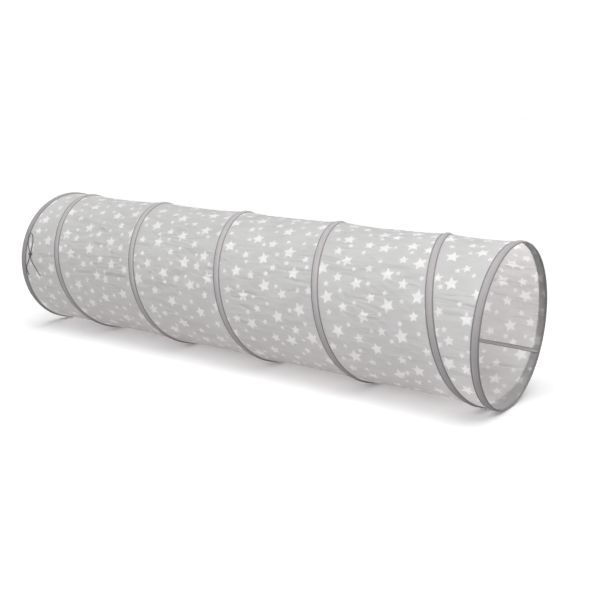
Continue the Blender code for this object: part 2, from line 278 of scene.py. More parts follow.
def numbers(*names: str) -> list[Entry]:
    """Inputs that each hold a number."""
    return [Entry(name) for name in names]


class GeometryRecipe:
    """A Geometry Nodes tree with named inputs, run on host objects to make plain meshes."""

    def __init__(self, name: str, entries: Sequence[Entry]) -> None:
        """Makes the tree's interface.

        Args:
            name: The tree's name.
            entries: Its inputs after the geometry.
        """
        self.tree = bpy.data.node_groups.new(name, "GeometryNodeTree")
        face = self.tree.interface
        for entry in (Entry("Geometry", "Geometry"), *entries):
            face.new_socket(name=entry.name, in_out="INPUT", socket_type="NodeSocket" + entry.kind)
        face.new_socket(name="Geometry", in_out="OUTPUT", socket_type="NodeSocketGeometry")
        self.sketch = Sketch(self.tree)
        self.given = self.sketch.node("NodeGroupInput").outputs

    def end(self, geometry: Socket, material: object) -> None:
        """Ends the tree in Realize Instances and Set Material.

        Args:
            geometry: The finished geometry's socket.
            material: A material or the socket of one.
        """
        realized = self.sketch.call("GeometryNodeRealizeInstances", {"Geometry": geometry})
        dressed = self.sketch.call("GeometryNodeSetMaterial", {"Geometry": realized, "Material": material})
        self.sketch.finish(dressed, "NodeGroupOutput")

    def run(self, name: str, host: bpy.types.Mesh, values: dict, thickness: float = 0.0) -> bpy.types.Mesh:
        """Runs the tree on a host mesh.

        Args:
            name: Name of the resulting mesh.
            host: The mesh that the tree starts from.
            values: The inputs by name.
            thickness: Wall that a Solidify gives the result inwards, or 0 for none.

        Returns:
            The result as a plain mesh.
        """
        obj = bpy.data.objects.new(name + "_host", host)
        bpy.context.scene.collection.objects.link(obj)
        modifier = obj.modifiers.new("recipe", "NODES")
        modifier.node_group = self.tree
        for item in self.tree.interface.items_tree:
            if item.in_out == "INPUT" and item.name in values:
                modifier[item.identifier] = values[item.name]
        if thickness:
            add_wall(obj, thickness)
        mesh = evaluated_mesh(obj, name)
        obj.modifiers.clear()
        bpy.data.objects.remove(obj, do_unlink=True)
        bpy.data.meshes.remove(host)
        return mesh


# Meshes


def add_wall(obj: bpy.types.Object, thickness: float) -> None:
    """Gives an open surface a wall inwards.

    Args:
        obj: The surface's object.
        thickness: The wall's thickness.
    """
    wall = obj.modifiers.new("wall", "SOLIDIFY")
    wall.thickness = thickness
    wall.offset = -1.0
    wall.use_even_offset = False


def evaluated_mesh(obj: bpy.types.Object, name: str) -> bpy.types.Mesh:
    """An object's shape with its modifiers, as a plain mesh.

    Args:
        obj: The object, which is in the scene.
        name: Name of the mesh.

    Returns:
        The new mesh.
    """
    graph = bpy.context.evaluated_depsgraph_get()
    shown = obj.evaluated_get(graph)
    mesh = bpy.data.meshes.new_from_object(shown, preserve_all_data_layers=True, depsgraph=graph)
    mesh.name = name
    return mesh


def line_mesh(name: str, points: np.ndarray) -> bpy.types.Mesh:
    """A mesh of edges along points.

    Args:
        name: Name of the mesh.
        points: Points in order.

    Returns:
        The new mesh.
    """
    mesh = bpy.data.meshes.new(name)
    mesh.from_pydata([tuple(p) for p in points], [(i, i + 1) for i in range(len(points) - 1)], [])
    return mesh


def grid_mesh(name: str, points: np.ndarray, uv: np.ndarray, closed: bool = False) -> bpy.types.Mesh:
    """A mesh over rows of points, with the rows' order and the columns' order facing it outwards.

    Args:
        name: Name of the mesh.
        points: Rows by columns by 3.
        uv: Rows by columns by 2. With closed rows it has one row more, so that the map can break there.
        closed: True to join the last row to the first.

    Returns:
        The new mesh, smooth shaded.
    """
    rows, columns = points.shape[:2]
    spans = rows if closed else rows - 1
    row, column = np.meshgrid(np.arange(spans), np.arange(columns - 1), indexing="ij")
    row, column = row.ravel(), column.ravel()
    here, there = row * columns + column, (row + 1) % rows * columns + column
    faces = np.stack([here, there, there + 1, here + 1], 1)
    mesh = bpy.data.meshes.new(name)
    mesh.from_pydata(points.reshape(-1, 3).tolist(), [], faces.tolist())
    steps = ((0, 0), (1, 0), (1, 1), (0, 1))
    corners = np.stack([uv[row + down, column + across] for down, across in steps], 1)
    mesh.uv_layers.new(name=UV_NAME).data.foreach_set("uv", corners.astype(np.float32).ravel())
    mesh.shade_smooth()
    return mesh


def merged(name: str, meshes: Sequence[bpy.types.Mesh]) -> bpy.types.Mesh:
    """One mesh of several, each keeping its own material.

    Args:
        name: Name of the mesh.
        meshes: The meshes, which are used up.

    Returns:
        The new mesh.
    """
    bm = bmesh.new()
    bm.loops.layers.uv.new(UV_NAME)
    materials: list[bpy.types.Material] = []
    for mesh in meshes:
        own = list(mesh.materials)
        for material in own:
            if material not in materials:
                materials.append(material)
        index = [materials.index(m) for m in own] or [0]
        first = len(bm.faces)
        bm.from_mesh(mesh)
        bm.faces.ensure_lookup_table()
        for face in bm.faces[first:]:
            face.material_index = index[min(face.material_index, len(index) - 1)]
        bpy.data.meshes.remove(mesh)
    result = bpy.data.meshes.new(name)
    for material in materials:
        result.materials.append(material)
    bm.to_mesh(result)
    bm.free()
    result.shade_smooth()
    result.set_sharp_from_angle(angle=math.radians(SHARP_ANGLE))
    return result


def show(mesh: bpy.types.Mesh, *materials: bpy.types.Material) -> bpy.types.Object:
    """Puts a mesh in the scene as a piece at the origin.

    Args:
        mesh: The piece's mesh, whose name the piece takes.
        *materials: Materials to add to the mesh.

    Returns:
        The new object.
    """
    for material in materials:
        mesh.materials.append(material)
    obj = bpy.data.objects.new(mesh.name, mesh)
    bpy.context.scene.collection.objects.link(obj)
    return obj


def walled(name: str, mesh: bpy.types.Mesh, material: bpy.types.Material, thickness: float) -> bpy.types.Mesh:
    """A surface made solid, with its wall inwards.

    Args:
        name: Name of the result.
        mesh: The surface.
        material: Its material.
        thickness: The wall's thickness.

    Returns:
        The solid mesh.
    """
    obj = show(mesh, material)
    add_wall(obj, thickness)
    result = evaluated_mesh(obj, name)
    bpy.data.objects.remove(obj, do_unlink=True)
    return result


def smooth_path(points: Sequence[Vector], spacing: float, steps: int = 24) -> np.ndarray:
    """Points spaced evenly along a smooth curve through the given ones.

    Args:
        points: The points to pass through.
        spacing: About how far apart the new points are.
        steps: How finely each stretch is worked out first.

    Returns:
        The new points.
    """
    ends = [points[0] * 2 - points[1], *points, points[-1] * 2 - points[-2]]
    fine = []
    for before, start, end, after in zip(ends, ends[1:], ends[2:], ends[3:]):
        for step in range(steps):
            t = step / steps
            bend = (2 * before - 5 * start + 4 * end - after) * t**2
            twist = (3 * start - before - 3 * end + after) * t**3
            fine.append((2 * start + (end - before) * t + bend + twist) / 2)
    fine.append(points[-1])
    path = np.array([tuple(point) for point in fine])
    lengths = run_of(path)
    wanted = np.linspace(0, lengths[-1], max(round(lengths[-1] / spacing), 2) + 1)
    return np.stack([np.interp(wanted, lengths, path[:, axis]) for axis in range(3)], 1)


@dataclass(frozen=True)
class RoundTube:
    """A round tube along a path, with domed ends and a map in metres along and around it."""

    radius: float
    sides: int
    dome: Stations = (30, 60, 85)
    first_side: Triple = (0.31, 0.52, 0.79)

    def rings(self, path: np.ndarray) -> tuple[np.ndarray, np.ndarray, np.ndarray]:
        """The tube's rings.

        Args:
            path: Points of the centre line.

        Returns:
            The rings' centres, the directions that they face and their radii, domes included.
        """
        forward = np.gradient(path, axis=0)
        forward /= np.linalg.norm(forward, axis=1)[:, None]
        turns = np.radians(self.dome)
        out, caps = self.radius * np.sin(turns)[:, None], self.radius * np.cos(turns)
        centres = np.concatenate([(path[0] - forward[0] * out)[::-1], path, path[-1] + forward[-1] * out])
        radii = np.concatenate([caps[::-1], np.full(len(path), self.radius), caps])
        count = len(turns)
        ends = np.repeat(forward[:1], count, 0), np.repeat(forward[-1:], count, 0)
        return centres, np.concatenate([ends[0], forward, ends[1]]), radii

    def mesh(self, name: str, path: np.ndarray) -> bpy.types.Mesh:
        """Builds the tube.

        Args:
            name: Name of the mesh.
            path: Points of the centre line.

        Returns:
            The new mesh.
        """
        centres, forward, radii = self.rings(np.asarray(path, float))
        side = np.cross(forward[0], self.first_side)
        side /= np.linalg.norm(side)
        around = np.linspace(0, WHOLE_TURN, self.sides, endpoint=False)[:, None]
        run, arc = run_of(centres), WHOLE_TURN * self.radius / self.sides
        bm = bmesh.new()
        layer = bm.loops.layers.uv.new(UV_NAME)
        grid = []
        for centre, ahead, wide in zip(centres, forward, radii):
            side = side - ahead * side.dot(ahead)
            side /= np.linalg.norm(side)
            up = np.cross(ahead, side)
            ring = centre + wide * (np.cos(around) * side + np.sin(around) * up)
            grid.append([bm.verts.new(point) for point in ring])
        for i, (ring, following) in enumerate(zip(grid, grid[1:])):
            for j in range(self.sides):
                after = (j + 1) % self.sides
                face = bm.faces.new((ring[j], ring[after], following[after], following[j]))
                low, high = j * arc, (j + 1) * arc
                places = (run[i], low), (run[i], high), (run[i + 1], high), (run[i + 1], low)
                for loop, place in zip(face.loops, places):
                    loop[layer].uv = place
        bm.faces.new(list(reversed(grid[0])))
        bm.faces.new(grid[-1])
        bmesh.ops.recalc_face_normals(bm, faces=bm.faces)
        mesh = bpy.data.meshes.new(name)
        bm.to_mesh(mesh)
        bm.free()
        mesh.shade_smooth()
        return mesh


# The tunnel's form


@dataclass(frozen=True)
class TunnelForm:
    """The sizes that all the pieces share, as the CAD has them."""

    length: float = 1.81
    axis_height: float = 0.23826324
    fabric_radius: float = 0.2345
    fabric_thickness: float = 0.0004
    tape_width: float = 0.025
    tape_thickness: float = 0.0006
    tape_rise: float = 0.0045
    foot_height: float = 0.0009
    layer_gap: float = 0.0003
    stitch_lift: float = 0.00008
    wire_radius: float = 0.0011
    wire_height: float = 0.00195
    lane_spacing: float = 0.003
    lane_inset: float = 0.014
    coil_start: float = -128.0
    coil_end: float = 1682.5
    ease: float = 72.0
    left_mouth: float = -67.5
    right_mouth: float = 1624.5
    near_side: float = 90.0
    full_turns: int = 4
    hump_inner: float = 0.0022
    hump_outer: float = 0.0088

    @property
    def left_rim(self) -> float:
        """Place of the left rim along X."""
        return -self.length / 2

    @property
    def right_rim(self) -> float:
        """Place of the right rim along X."""
        return self.length / 2

    @property
    def rim_lane(self) -> float:
        """How far inside a rim the middle of its tape lies."""
        return self.tape_width / 2

    @property
    def rise(self) -> float:
        """How far the coil moves along X with each degree."""
        run = self.length - 2 * self.lane_inset
        return run / (self.coil_end - self.coil_start - self.ease)

    def coil_x(self, angle: Values) -> Values:
        """Place along X of the coil's centre line.

        Args:
            angle: The coil's angles.

        Returns:
            The places. The coil starts and ends gently, beside the rims' own loops.
        """
        angle = np.clip(np.asarray(angle, float), self.coil_start, self.coil_end)
        after, before = angle - self.coil_start, self.coil_end - angle
        ease_in, ease_out = (np.maximum(self.ease - n, 0.0) ** 2 / (2 * self.ease) for n in (after, before))
        return self.left_rim + self.lane_inset + self.rise * (after - self.ease / 2 + ease_in - ease_out)

    def place(self, x: Values, angle: Values, height: Values) -> np.ndarray:
        """Points at heights above the fabric, none of them under the floor.

        Args:
            x: Places along the tunnel.
            angle: Angles round it.
            height: Heights above the fabric's outside.

        Returns:
            The points, with their three numbers last.
        """
        x, angle, height = np.broadcast_arrays(x, angle, height)
        turn = np.radians(angle)
        radius = self.fabric_radius + height
        z = np.maximum(self.axis_height + radius * np.cos(turn), 0.0)
        return np.stack([x, -radius * np.sin(turn), z], -1)

    def hump(self, off_lane: Values) -> Values:
        """How high a tape stands over a wire, from 0 to 1, by the distance from the wire's lane."""
        share = (self.hump_outer - np.abs(off_lane)) / (self.hump_outer - self.hump_inner)
        return eased(np.clip(share, 0, 1))

    def arc(self, angle: Values) -> Values:
        """Length round the wall that an angle covers."""
        return np.radians(angle) * self.fabric_radius

    def degrees(self, length: float) -> float:
        """Degrees round the wall that a length covers."""
        return math.degrees(length / self.fabric_radius)

    def nodes_of(self, stem: str) -> list[str]:
        """The names of the nodes that make up one long piece, a node for each turn."""
        return [f"{stem}_{turn}" for turn in range(1, self.full_turns + 2)]


FORM = TunnelForm()


@dataclass(frozen=True)
class Fold:
    """How the coil is cut into pieces along the bodies of its turns.

    Each piece of the coil lies between the two bodies of its turn, and bends() gives the second body's share,
    which grows evenly with its angle. Nothing reads the shares: a piece that rides on one body is attached
    to it, and the others keep fixed places.
    """

    left_cuts: Stations = (9, 18, 51.75, 51.75, 18, 9)
    turn_cuts: Stations = (10, 20, 45, 60, 45, 45, 60, 45, 20, 10)
    right_cuts: Stations = (8, 16, 23.25, 23.25, 16, 8)
    halvings: int = 50

    def bends(self) -> list[Span]:
        """The coil's pieces between the rims, in order.

        Returns:
            For each, its first and last angle, the bodies it bends between, and the second body's
            share at both ends. The same body twice means that the piece rides on that body.
        """
        bodies = ["left_end", *FORM.nodes_of("turn"), "right_end"]
        starts = [FORM.near_side + FULL_CIRCLE * turn for turn in range(FORM.full_turns + 1)]
        cuts_of = [self.left_cuts, *[self.turn_cuts] * FORM.full_turns, self.right_cuts]
        found = []
        for start, cuts, body, following in zip([FORM.left_mouth, *starts], cuts_of, bodies, bodies[1:]):
            total, angle = sum(cuts), start
            for cut in cuts:
                shares = (angle - start) / total, (angle + cut - start) / total
                found.append((angle, angle + cut, body, following, *shares))
                angle += cut
        return found

    def spans(self, first: float, last: float) -> list[Span]:
        """All the pieces of something that follows the coil.

        Args:
            first: The coil's angle where it starts, under the left rim's tape.
            last: The angle where it ends, under the right rim's.

        Returns:
            Their rows, as bends() gives them, with one that rides on each end.
        """
        left = (first, FORM.left_mouth, "left_end", "left_end", 0.0, 0.0)
        right = (FORM.right_mouth, last, "right_end", "right_end", 1.0, 1.0)
        return [left, *self.bends(), right]

    def attach(self, obj: bpy.types.Object, span: Span) -> None:
        """Makes a piece that rides on one body follow it; a piece between two bodies only gets its transform
        baked.

        Args:
            obj: The piece.
            span: Its row of spans().
        """
        first, last, body, next_body, low, high = span
        if body == next_body:
            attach(obj, body)
            return
        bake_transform(obj)


class Slot(Enum):
    """The pieces' material slots, by name."""

    FABRIC = "fabric"
    TAPE = "tape"
    CORD = "cord"
    METAL = "metal"

    def on(self, obj: bpy.types.Object) -> None:
        """Takes no step; the piece keeps the materials that it has."""

    def settle(self, obj: bpy.types.Object, body: str, *nodes: str) -> bpy.types.Object:
        """Gives a piece a body and hides the CAD nodes that it stands for.

        Args:
            obj: The piece.
            body: The body that it rides on.
            *nodes: The CAD nodes that it stands for.

        Returns:
            The same piece.
        """
        self.on(obj)
        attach(obj, body)
        if nodes:
            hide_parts(*nodes)
        return obj


# The finishes


def new_material(name: str) -> tuple[bpy.types.Material, Sketch]:
    """An empty node material.

    Args:
        name: The material's name.

    Returns:
        The material and a sketch on its tree.
    """
    material = bpy.data.materials.new(name)
    material.use_nodes = True
    return material, Sketch(material.node_tree)


@dataclass(frozen=True)
class StarLayer:
    """One star in each cell of the print's grid.

    Attributes:
        shift: How far the layer's cells lie off the print's, in cells.
        seed: Seed of its places, turns and sizes.
        reach: The least and most distance from a star's middle to its tips' line.
    """

    shift: Triple
    seed: float
    reach: tuple[float, float]


@dataclass(frozen=True)
class StarPrint:
    """White five-point stars of three sizes, scattered on a loose grid that is turned on the cloth."""

    points: int = 5
    grid: float = 0.096
    turn: float = 27.0
    jitter: float = 0.13
    tilt: float = 34.0
    waist: float = 0.47
    edge: float = 0.0004
    size_shift: Triple = (7.3, 3.1, 5.7)
    layers: tuple[StarLayer, ...] = (
        StarLayer((0.0, 0.0, 0.0), 1.0, (0.0205, 0.0245)),
        StarLayer((0.5, 0.5, 0.0), 2.0, (0.0140, 0.0175)),
        StarLayer((0.5, 0.0, 0.0), 3.0, (0.0085, 0.0105)),
        StarLayer((0.0, 0.5, 0.0), 4.0, (0.0085, 0.0105)),
    )

    @staticmethod
    def around(s: Sketch, dice: Socket, width: float) -> Socket:
        """Turns a number from 0 to 1 into one that lies around 0."""
        return s.sum("MULTIPLY", s.sum("SUBTRACT", dice, 0.5), width)

    def layer_group(self) -> bpy.types.NodeTree:
        """A node group that draws one star in each cell of a grid.

        Returns:
            The group, with inputs Place, Shift, Seed, Least and Most.
        """
        tree = bpy.data.node_groups.new("star_layer", "ShaderNodeTree")
        for entry in (Entry("Place", "Vector"), Entry("Shift", "Vector"), *numbers("Seed", "Least", "Most")):
            tree.interface.new_socket(name=entry.name, in_out="INPUT", socket_type="NodeSocket" + entry.kind)
        tree.interface.new_socket(name="Star", in_out="OUTPUT", socket_type="NodeSocketFloat")
        s = Sketch(tree)
        given = s.node("NodeGroupInput").outputs
        cells = s.vector("ADD", s.scaled(given["Place"], 1 / self.grid), given["Shift"])
        cell = s.vector("FLOOR", cells)
        seeded = s.vector("ADD", cell, s.join(given["Seed"], given["Seed"], given["Seed"]))
        other_cell = s.vector("ADD", seeded, self.size_shift)
        dice = s.call("ShaderNodeTexWhiteNoise", {"Vector": seeded}, "Color", noise_dimensions="3D")
        size_dice = s.call("ShaderNodeTexWhiteNoise", {"Vector": other_cell}, "Value", noise_dimensions="3D")
        dice_x, dice_y, dice_z = s.split(dice)
        off = s.join(self.around(s, dice_x, 2 * self.jitter), self.around(s, dice_y, 2 * self.jitter))
        middle = s.vector("ADD", cell, s.vector("ADD", off, (0.5, 0.5, 0.0)))
        local_x, local_y, _ = s.split(s.scaled(s.vector("SUBTRACT", cells, middle), self.grid))
        radius = s.vector("LENGTH", s.join(local_x, local_y), output=1)
        tip = s.sum("SUBTRACT", self.around(s, dice_z, math.radians(self.tilt)), math.radians(self.turn))
        angle = s.sum("ADD", s.sum("ARCTAN2", local_x, local_y), tip)
        point = WHOLE_TURN / self.points
        folded = s.sum("FLOORED_MODULO", s.sum("ADD", angle, point / 2), point)
        folded = s.sum("ABSOLUTE", s.sum("SUBTRACT", folded, point / 2))
        spread = s.sum("SUBTRACT", given["Most"], given["Least"])
        size = s.sum("MULTIPLY_ADD", size_dice, spread, given["Least"])
        across = s.sum("SUBTRACT", s.sum("MULTIPLY", radius, s.sum("COSINE", folded)), size)
        beside = s.sum("MULTIPLY", radius, s.sum("SINE", folded))
        normal = Vector((self.waist * math.sin(point / 2), 1 - self.waist * math.cos(point / 2))).normalized()
        outside = s.sum("ADD", s.sum("MULTIPLY", across, normal.x), s.sum("MULTIPLY", beside, normal.y))
        s.finish(s.fade(outside, self.edge, -self.edge), "NodeGroupOutput")
        return tree

    def draw(self, s: Sketch, place: Socket) -> Socket:
        """Adds the print to a material.

        Args:
            s: The material's sketch.
            place: The place on the cloth, in metres.

        Returns:
            A number that is 1 inside the stars and 0 outside them.
        """
        group = self.layer_group()
        inputs = {"Vector": place, "Angle": math.radians(self.turn)}
        turned = s.call("ShaderNodeVectorRotate", inputs, rotation_type="Z_AXIS")
        total = None
        for layer in self.layers:
            least, most = layer.reach
            inputs = {"Place": turned, "Shift": layer.shift, "Seed": layer.seed, "Least": least, "Most": most}
            star = s.call("ShaderNodeGroup", inputs, node_tree=group)
            total = star if total is None else s.sum("MAXIMUM", total, star)
        return total


@dataclass(frozen=True)
class TunnelFabric:
    """Thin light grey polyester with a white star print, which lets some light through.

    The stretches give how many lumps of a noise go to a metre along the tunnel and around it.
    """

    ground: Colour = (0.705, 0.792, 0.770)
    reverse_ground: Colour = (0.722, 0.738, 0.722)
    ink: Colour = (0.985, 0.985, 0.98)
    glow: Colour = (0.838, 0.810, 0.815)
    glow_ink: Colour = (0.98, 0.97, 0.97)
    roughness: float = 0.6
    gloss: float = 0.35
    sheen: float = 0.15
    sheen_roughness: float = 0.4
    through: float = 0.71
    through_ink: float = 0.67
    reverse_print: float = 0.72
    reverse_packed: float = 2.4
    thread: float = 0.0006
    weave_depth: float = 0.00002
    crease_depth: float = 0.0022
    crease_width: float = 0.19
    crease_stretch: Triple = (4.5, 24.0, 1.0)
    crease_seed: float = 2.3
    crease_twist: float = 0.7
    crease_patches: Triple = (7.0, 7.0, 1.0)
    crease_cover: tuple[float, float] = (0.42, 0.62)
    packed_depth: float = 0.0008
    packed_stretch: Triple = (17.0, 6.0, 1.0)
    packed_seed: float = 8.1
    billow_depth: float = 0.0105
    billow_stretch: Triple = (6.0, 27.0, 1.0)
    billow_shift: Triple = (4.4, 1.7, 0.0)
    billow_twist: float = 0.9
    billow_patches: Triple = (5.0, 5.0, 1.0)
    billow_patch_shift: Triple = (9.1, 3.3, 0.0)
    billow_cover: tuple[float, float] = (0.40, 0.62)
    billow_least: float = 0.25
    crumple_depth: float = 0.0026
    crumple_stretch: Triple = (14.0, 34.0, 1.0)
    cloud_scale: float = 9.0
    streak_stretch: Triple = (6.0, 60.0, 1.0)
    unevenness: float = 0.06
    stars: StarPrint = field(default_factory=StarPrint)

    def creases(self, s: Sketch, place: Socket, stretch: Triple, seed: float) -> Socket:
        """Sharp creases that run one way, in patches.

        Args:
            s: The material's sketch.
            place: The place on the cloth, in metres.
            stretch: Creases to a metre along and around the tunnel.
            seed: Moves the pattern.

        Returns:
            A number that dips from 1 towards 0 along the creases.
        """
        moved = s.vector("MULTIPLY_ADD", place, stretch, (seed, -seed, seed))
        lines = s.noise(moved, Distortion=self.crease_twist)
        line = s.fade(s.sum("ABSOLUTE", s.sum("SUBTRACT", lines, 0.5)), 0.0, self.crease_width)
        where = s.vector("MULTIPLY_ADD", place, self.crease_patches, (-seed, seed, seed))
        patch = s.fade(s.noise(where, detail=1.0), *self.crease_cover)
        return s.sum("SUBTRACT", 1.0, s.sum("MULTIPLY", s.sum("SUBTRACT", 1.0, line), patch))

    def billows(self, s: Sketch, place: Socket) -> Socket:
        """Soft wavy folds along the tunnel, in patches.

        Args:
            s: The material's sketch.
            place: The place on the cloth, in metres.

        Returns:
            A number from 0 to 1 that rises over the folds.
        """
        moved = s.vector("MULTIPLY_ADD", place, self.billow_stretch, self.billow_shift)
        where = s.vector("MULTIPLY_ADD", place, self.billow_patches, self.billow_patch_shift)
        patch = s.fade(s.noise(where, detail=1.0), *self.billow_cover, self.billow_least, 1.0)
        return s.sum("MULTIPLY", s.noise(moved, detail=1.5, Distortion=self.billow_twist), patch)

    def relief(self, s: Sketch, place: Socket, packed_share: float) -> Socket:
        """The cloth's weave, its creases from being packed and its soft crumples.

        Args:
            s: The material's sketch.
            place: The place on the cloth, in metres.
            packed_share: How strong the creases around the tunnel are, where 1 is the printed side's.

        Returns:
            The bumped normal's socket.
        """
        turns = WHOLE_TURN / self.thread
        weave = s.sum("MULTIPLY", *[s.sum("SINE", s.sum("MULTIPLY", n, turns)) for n in s.split(place)[:2]])
        streaks = self.creases(s, place, self.crease_stretch, self.crease_seed)
        packed = self.creases(s, place, self.packed_stretch, self.packed_seed)
        crumple = s.noise(s.vector("MULTIPLY", place, self.crumple_stretch), detail=5.0, Roughness=0.55)
        height = s.sum("MULTIPLY", streaks, self.crease_depth)
        for layer, depth in (
            (packed, self.packed_depth * packed_share),
            (self.billows(s, place), self.billow_depth),
            (crumple, self.crumple_depth),
            (weave, self.weave_depth),
        ):
            height = s.sum("MULTIPLY_ADD", layer, depth, height)
        return s.bump(height)

    def material(self, reverse: bool = False) -> bpy.types.Material:
        """Builds the cloth's material.

        Args:
            reverse: True for the unprinted side, where the stars only show through.

        Returns:
            The material.
        """
        material, s = new_material("star_print_reverse" if reverse else "star_print_polyester")
        place = s.own_map()
        star = self.stars.draw(s, place)
        if reverse:
            star = s.sum("MULTIPLY", star, self.reverse_print)
        cloud = s.noise(place, self.cloud_scale, 3.0)
        streak = s.noise(s.vector("MULTIPLY", place, self.streak_stretch))
        tone = s.sum("MULTIPLY_ADD", streak, self.unevenness, 1.0 - self.unevenness)
        tone = s.sum("MULTIPLY_ADD", cloud, self.unevenness, tone)
        bump = self.relief(s, place, self.reverse_packed if reverse else 1.0)
        ground = self.reverse_ground if reverse else self.ground
        colour, through = (
            s.mix_colour(star, s.scaled(s.join(*plain), tone), solid(ink))
            for plain, ink in ((ground, self.ink), (self.glow, self.glow_ink))
        )
        skin = s.skin(
            {
                "Base Color": colour,
                "Roughness": self.roughness,
                "Specular IOR Level": self.gloss,
                "Sheen Weight": self.sheen,
                "Sheen Roughness": self.sheen_roughness,
                "Normal": bump,
            }
        )
        glow = s.call("ShaderNodeBsdfTranslucent", {"Color": through, "Normal": bump})
        share = s.sum("MULTIPLY_ADD", star, self.through_ink - self.through, self.through)
        s.finish(s.call("ShaderNodeMixShader", {0: share, 1: skin, 2: glow}))
        return material


@dataclass(frozen=True)
class SewnTape:
    """Woven polyester tape, mapped in metres along and across it, with darker edges: partly doubled cloth and
    thread, partly painted shade in the sewn feet.
    """

    name: str = "sleeve_tape"
    middle: Colour = (0.458, 0.434, 0.443)
    # The edge colour is partly the doubled cloth and thread, partly painted shade in the feet beside the
    # raised middle.
    edge: Colour = (0.27, 0.258, 0.266)
    width: float = 0.025
    edge_start: float = 0.0052
    edge_end: float = 0.0030
    rib: float = 0.0011
    rib_depth: float = 0.00006
    cross_ribs: float = 1.6
    cross_depth: float = 0.00003
    herringbone: float = 0.0021
    fuzz: float = 0.18
    fuzz_stretch: Triple = (90.0, 500.0, 1.0)
    wear: float = 0.14
    wear_scale: float = 26.0
    wear_depth: float = 0.0006
    base_tone: float = 0.84
    gather: float = 0.0016
    gather_stretch: Triple = (170.0, 34.0, 1.0)
    gather_start: float = 0.0095
    gather_end: float = 0.0035
    gather_least: float = 0.15
    relief: float = 0.8
    roughness: float = 0.72
    gloss: float = 0.3
    sheen: float = 0.3

    def material(self) -> bpy.types.Material:
        """Builds the tape's material.

        Returns:
            The material.
        """
        material, s = new_material(self.name)
        place = s.own_map()
        along, across, _ = s.split(place)
        off_edge = s.sum("MINIMUM", across, s.sum("SUBTRACT", self.width, across))
        # Painted shade in part: the sewn feet take the darker edge colour.
        side = s.fade(off_edge, self.edge_start, self.edge_end)
        fuzz = s.noise(s.vector("MULTIPLY", place, self.fuzz_stretch), detail=3.0)
        wear = s.noise(place, self.wear_scale, 3.0)
        tone = s.sum("MULTIPLY_ADD", fuzz, self.fuzz, s.sum("MULTIPLY_ADD", wear, self.wear, self.base_tone))
        colour = s.scaled(s.mix_colour(side, solid(self.middle), solid(self.edge)), tone)
        turns = WHOLE_TURN / self.rib
        slant = s.sum("ADD", along, s.sum("PINGPONG", across, self.herringbone))
        rib = s.sum("SINE", s.sum("MULTIPLY", slant, turns))
        cross = s.sum("SINE", s.sum("MULTIPLY", across, turns * self.cross_ribs))
        gather = s.noise(s.vector("MULTIPLY", place, self.gather_stretch))
        near_edge = s.fade(off_edge, self.gather_start, self.gather_end, self.gather_least, 1.0)
        pulled = s.sum("MULTIPLY", gather, near_edge)
        height = s.sum("MULTIPLY", wear, self.wear_depth)
        for layer, depth in ((cross, self.cross_depth), (rib, self.rib_depth), (pulled, self.gather)):
            height = s.sum("MULTIPLY_ADD", layer, depth, height)
        skin = s.skin(
            {
                "Base Color": colour,
                "Roughness": self.roughness,
                "Specular IOR Level": self.gloss,
                "Sheen Weight": self.sheen,
                "Normal": s.bump(height, strength=self.relief),
            }
        )
        s.finish(skin)
        return material


@dataclass(frozen=True)
class BraidedCord:
    """Dark grey round braid, mapped in metres along and around it, with a painted highlight on the strands'
    crowns and painted shade in the grooves.
    """

    colour: Colour = (0.055, 0.053, 0.058)
    # Painted highlight colour for the strands' crowns.
    crown_highlight: Colour = (0.13, 0.127, 0.135)
    pitch: float = 0.0034
    girth: float = 0.011
    plaits: int = 4
    groove: float = 0.2
    depth: float = 0.0003
    relief: float = 0.9
    roughness: float = 0.75
    sheen: float = 0.35

    def material(self) -> bpy.types.Material:
        """Builds the cord's material.

        Returns:
            The material.
        """
        material, s = new_material("braided_cord")
        along, around, _ = s.split(s.own_map())
        ahead = s.sum("MULTIPLY", along, WHOLE_TURN / self.pitch)
        round_it = s.sum("MULTIPLY", around, WHOLE_TURN * self.plaits / self.girth)
        first, second = (s.sum("SINE", s.sum(way, ahead, round_it)) for way in ("ADD", "SUBTRACT"))
        # Painted highlight and shade: the strands' crowns take the lighter colour and the grooves the darker
        # one.
        strand = s.fade(s.sum("MAXIMUM", first, second), self.groove, 1.0)
        skin = s.skin(
            {
                "Base Color": s.mix_colour(strand, solid(self.colour), solid(self.crown_highlight)),
                "Roughness": self.roughness,
                "Sheen Weight": self.sheen,
                "Normal": s.bump(strand, self.depth, self.relief),
            }
        )
        s.finish(skin)
        return material


@dataclass(frozen=True)
class Thread:
    """Twisted sewing thread."""

    colour: Colour = (0.21, 0.205, 0.21)
    dark: float = 0.7
    light: float = 1.3
    twist_scale: float = 900.0
    depth: float = 0.0001
    relief: float = 0.6
    roughness: float = 0.55

    def material(self) -> bpy.types.Material:
        """Builds the thread's material.

        Returns:
            The material.
        """
        material, s = new_material("sewing_thread")
        twist = s.noise(s.call("ShaderNodeTexCoord", {}, "Object"), self.twist_scale, 1.0)
        colour = s.mix_colour(twist, solid(self.colour, self.dark), solid(self.colour, self.light))
        bump = s.bump(twist, self.depth, self.relief)
        s.finish(s.skin({"Base Color": colour, "Roughness": self.roughness, "Normal": bump}))
        return material


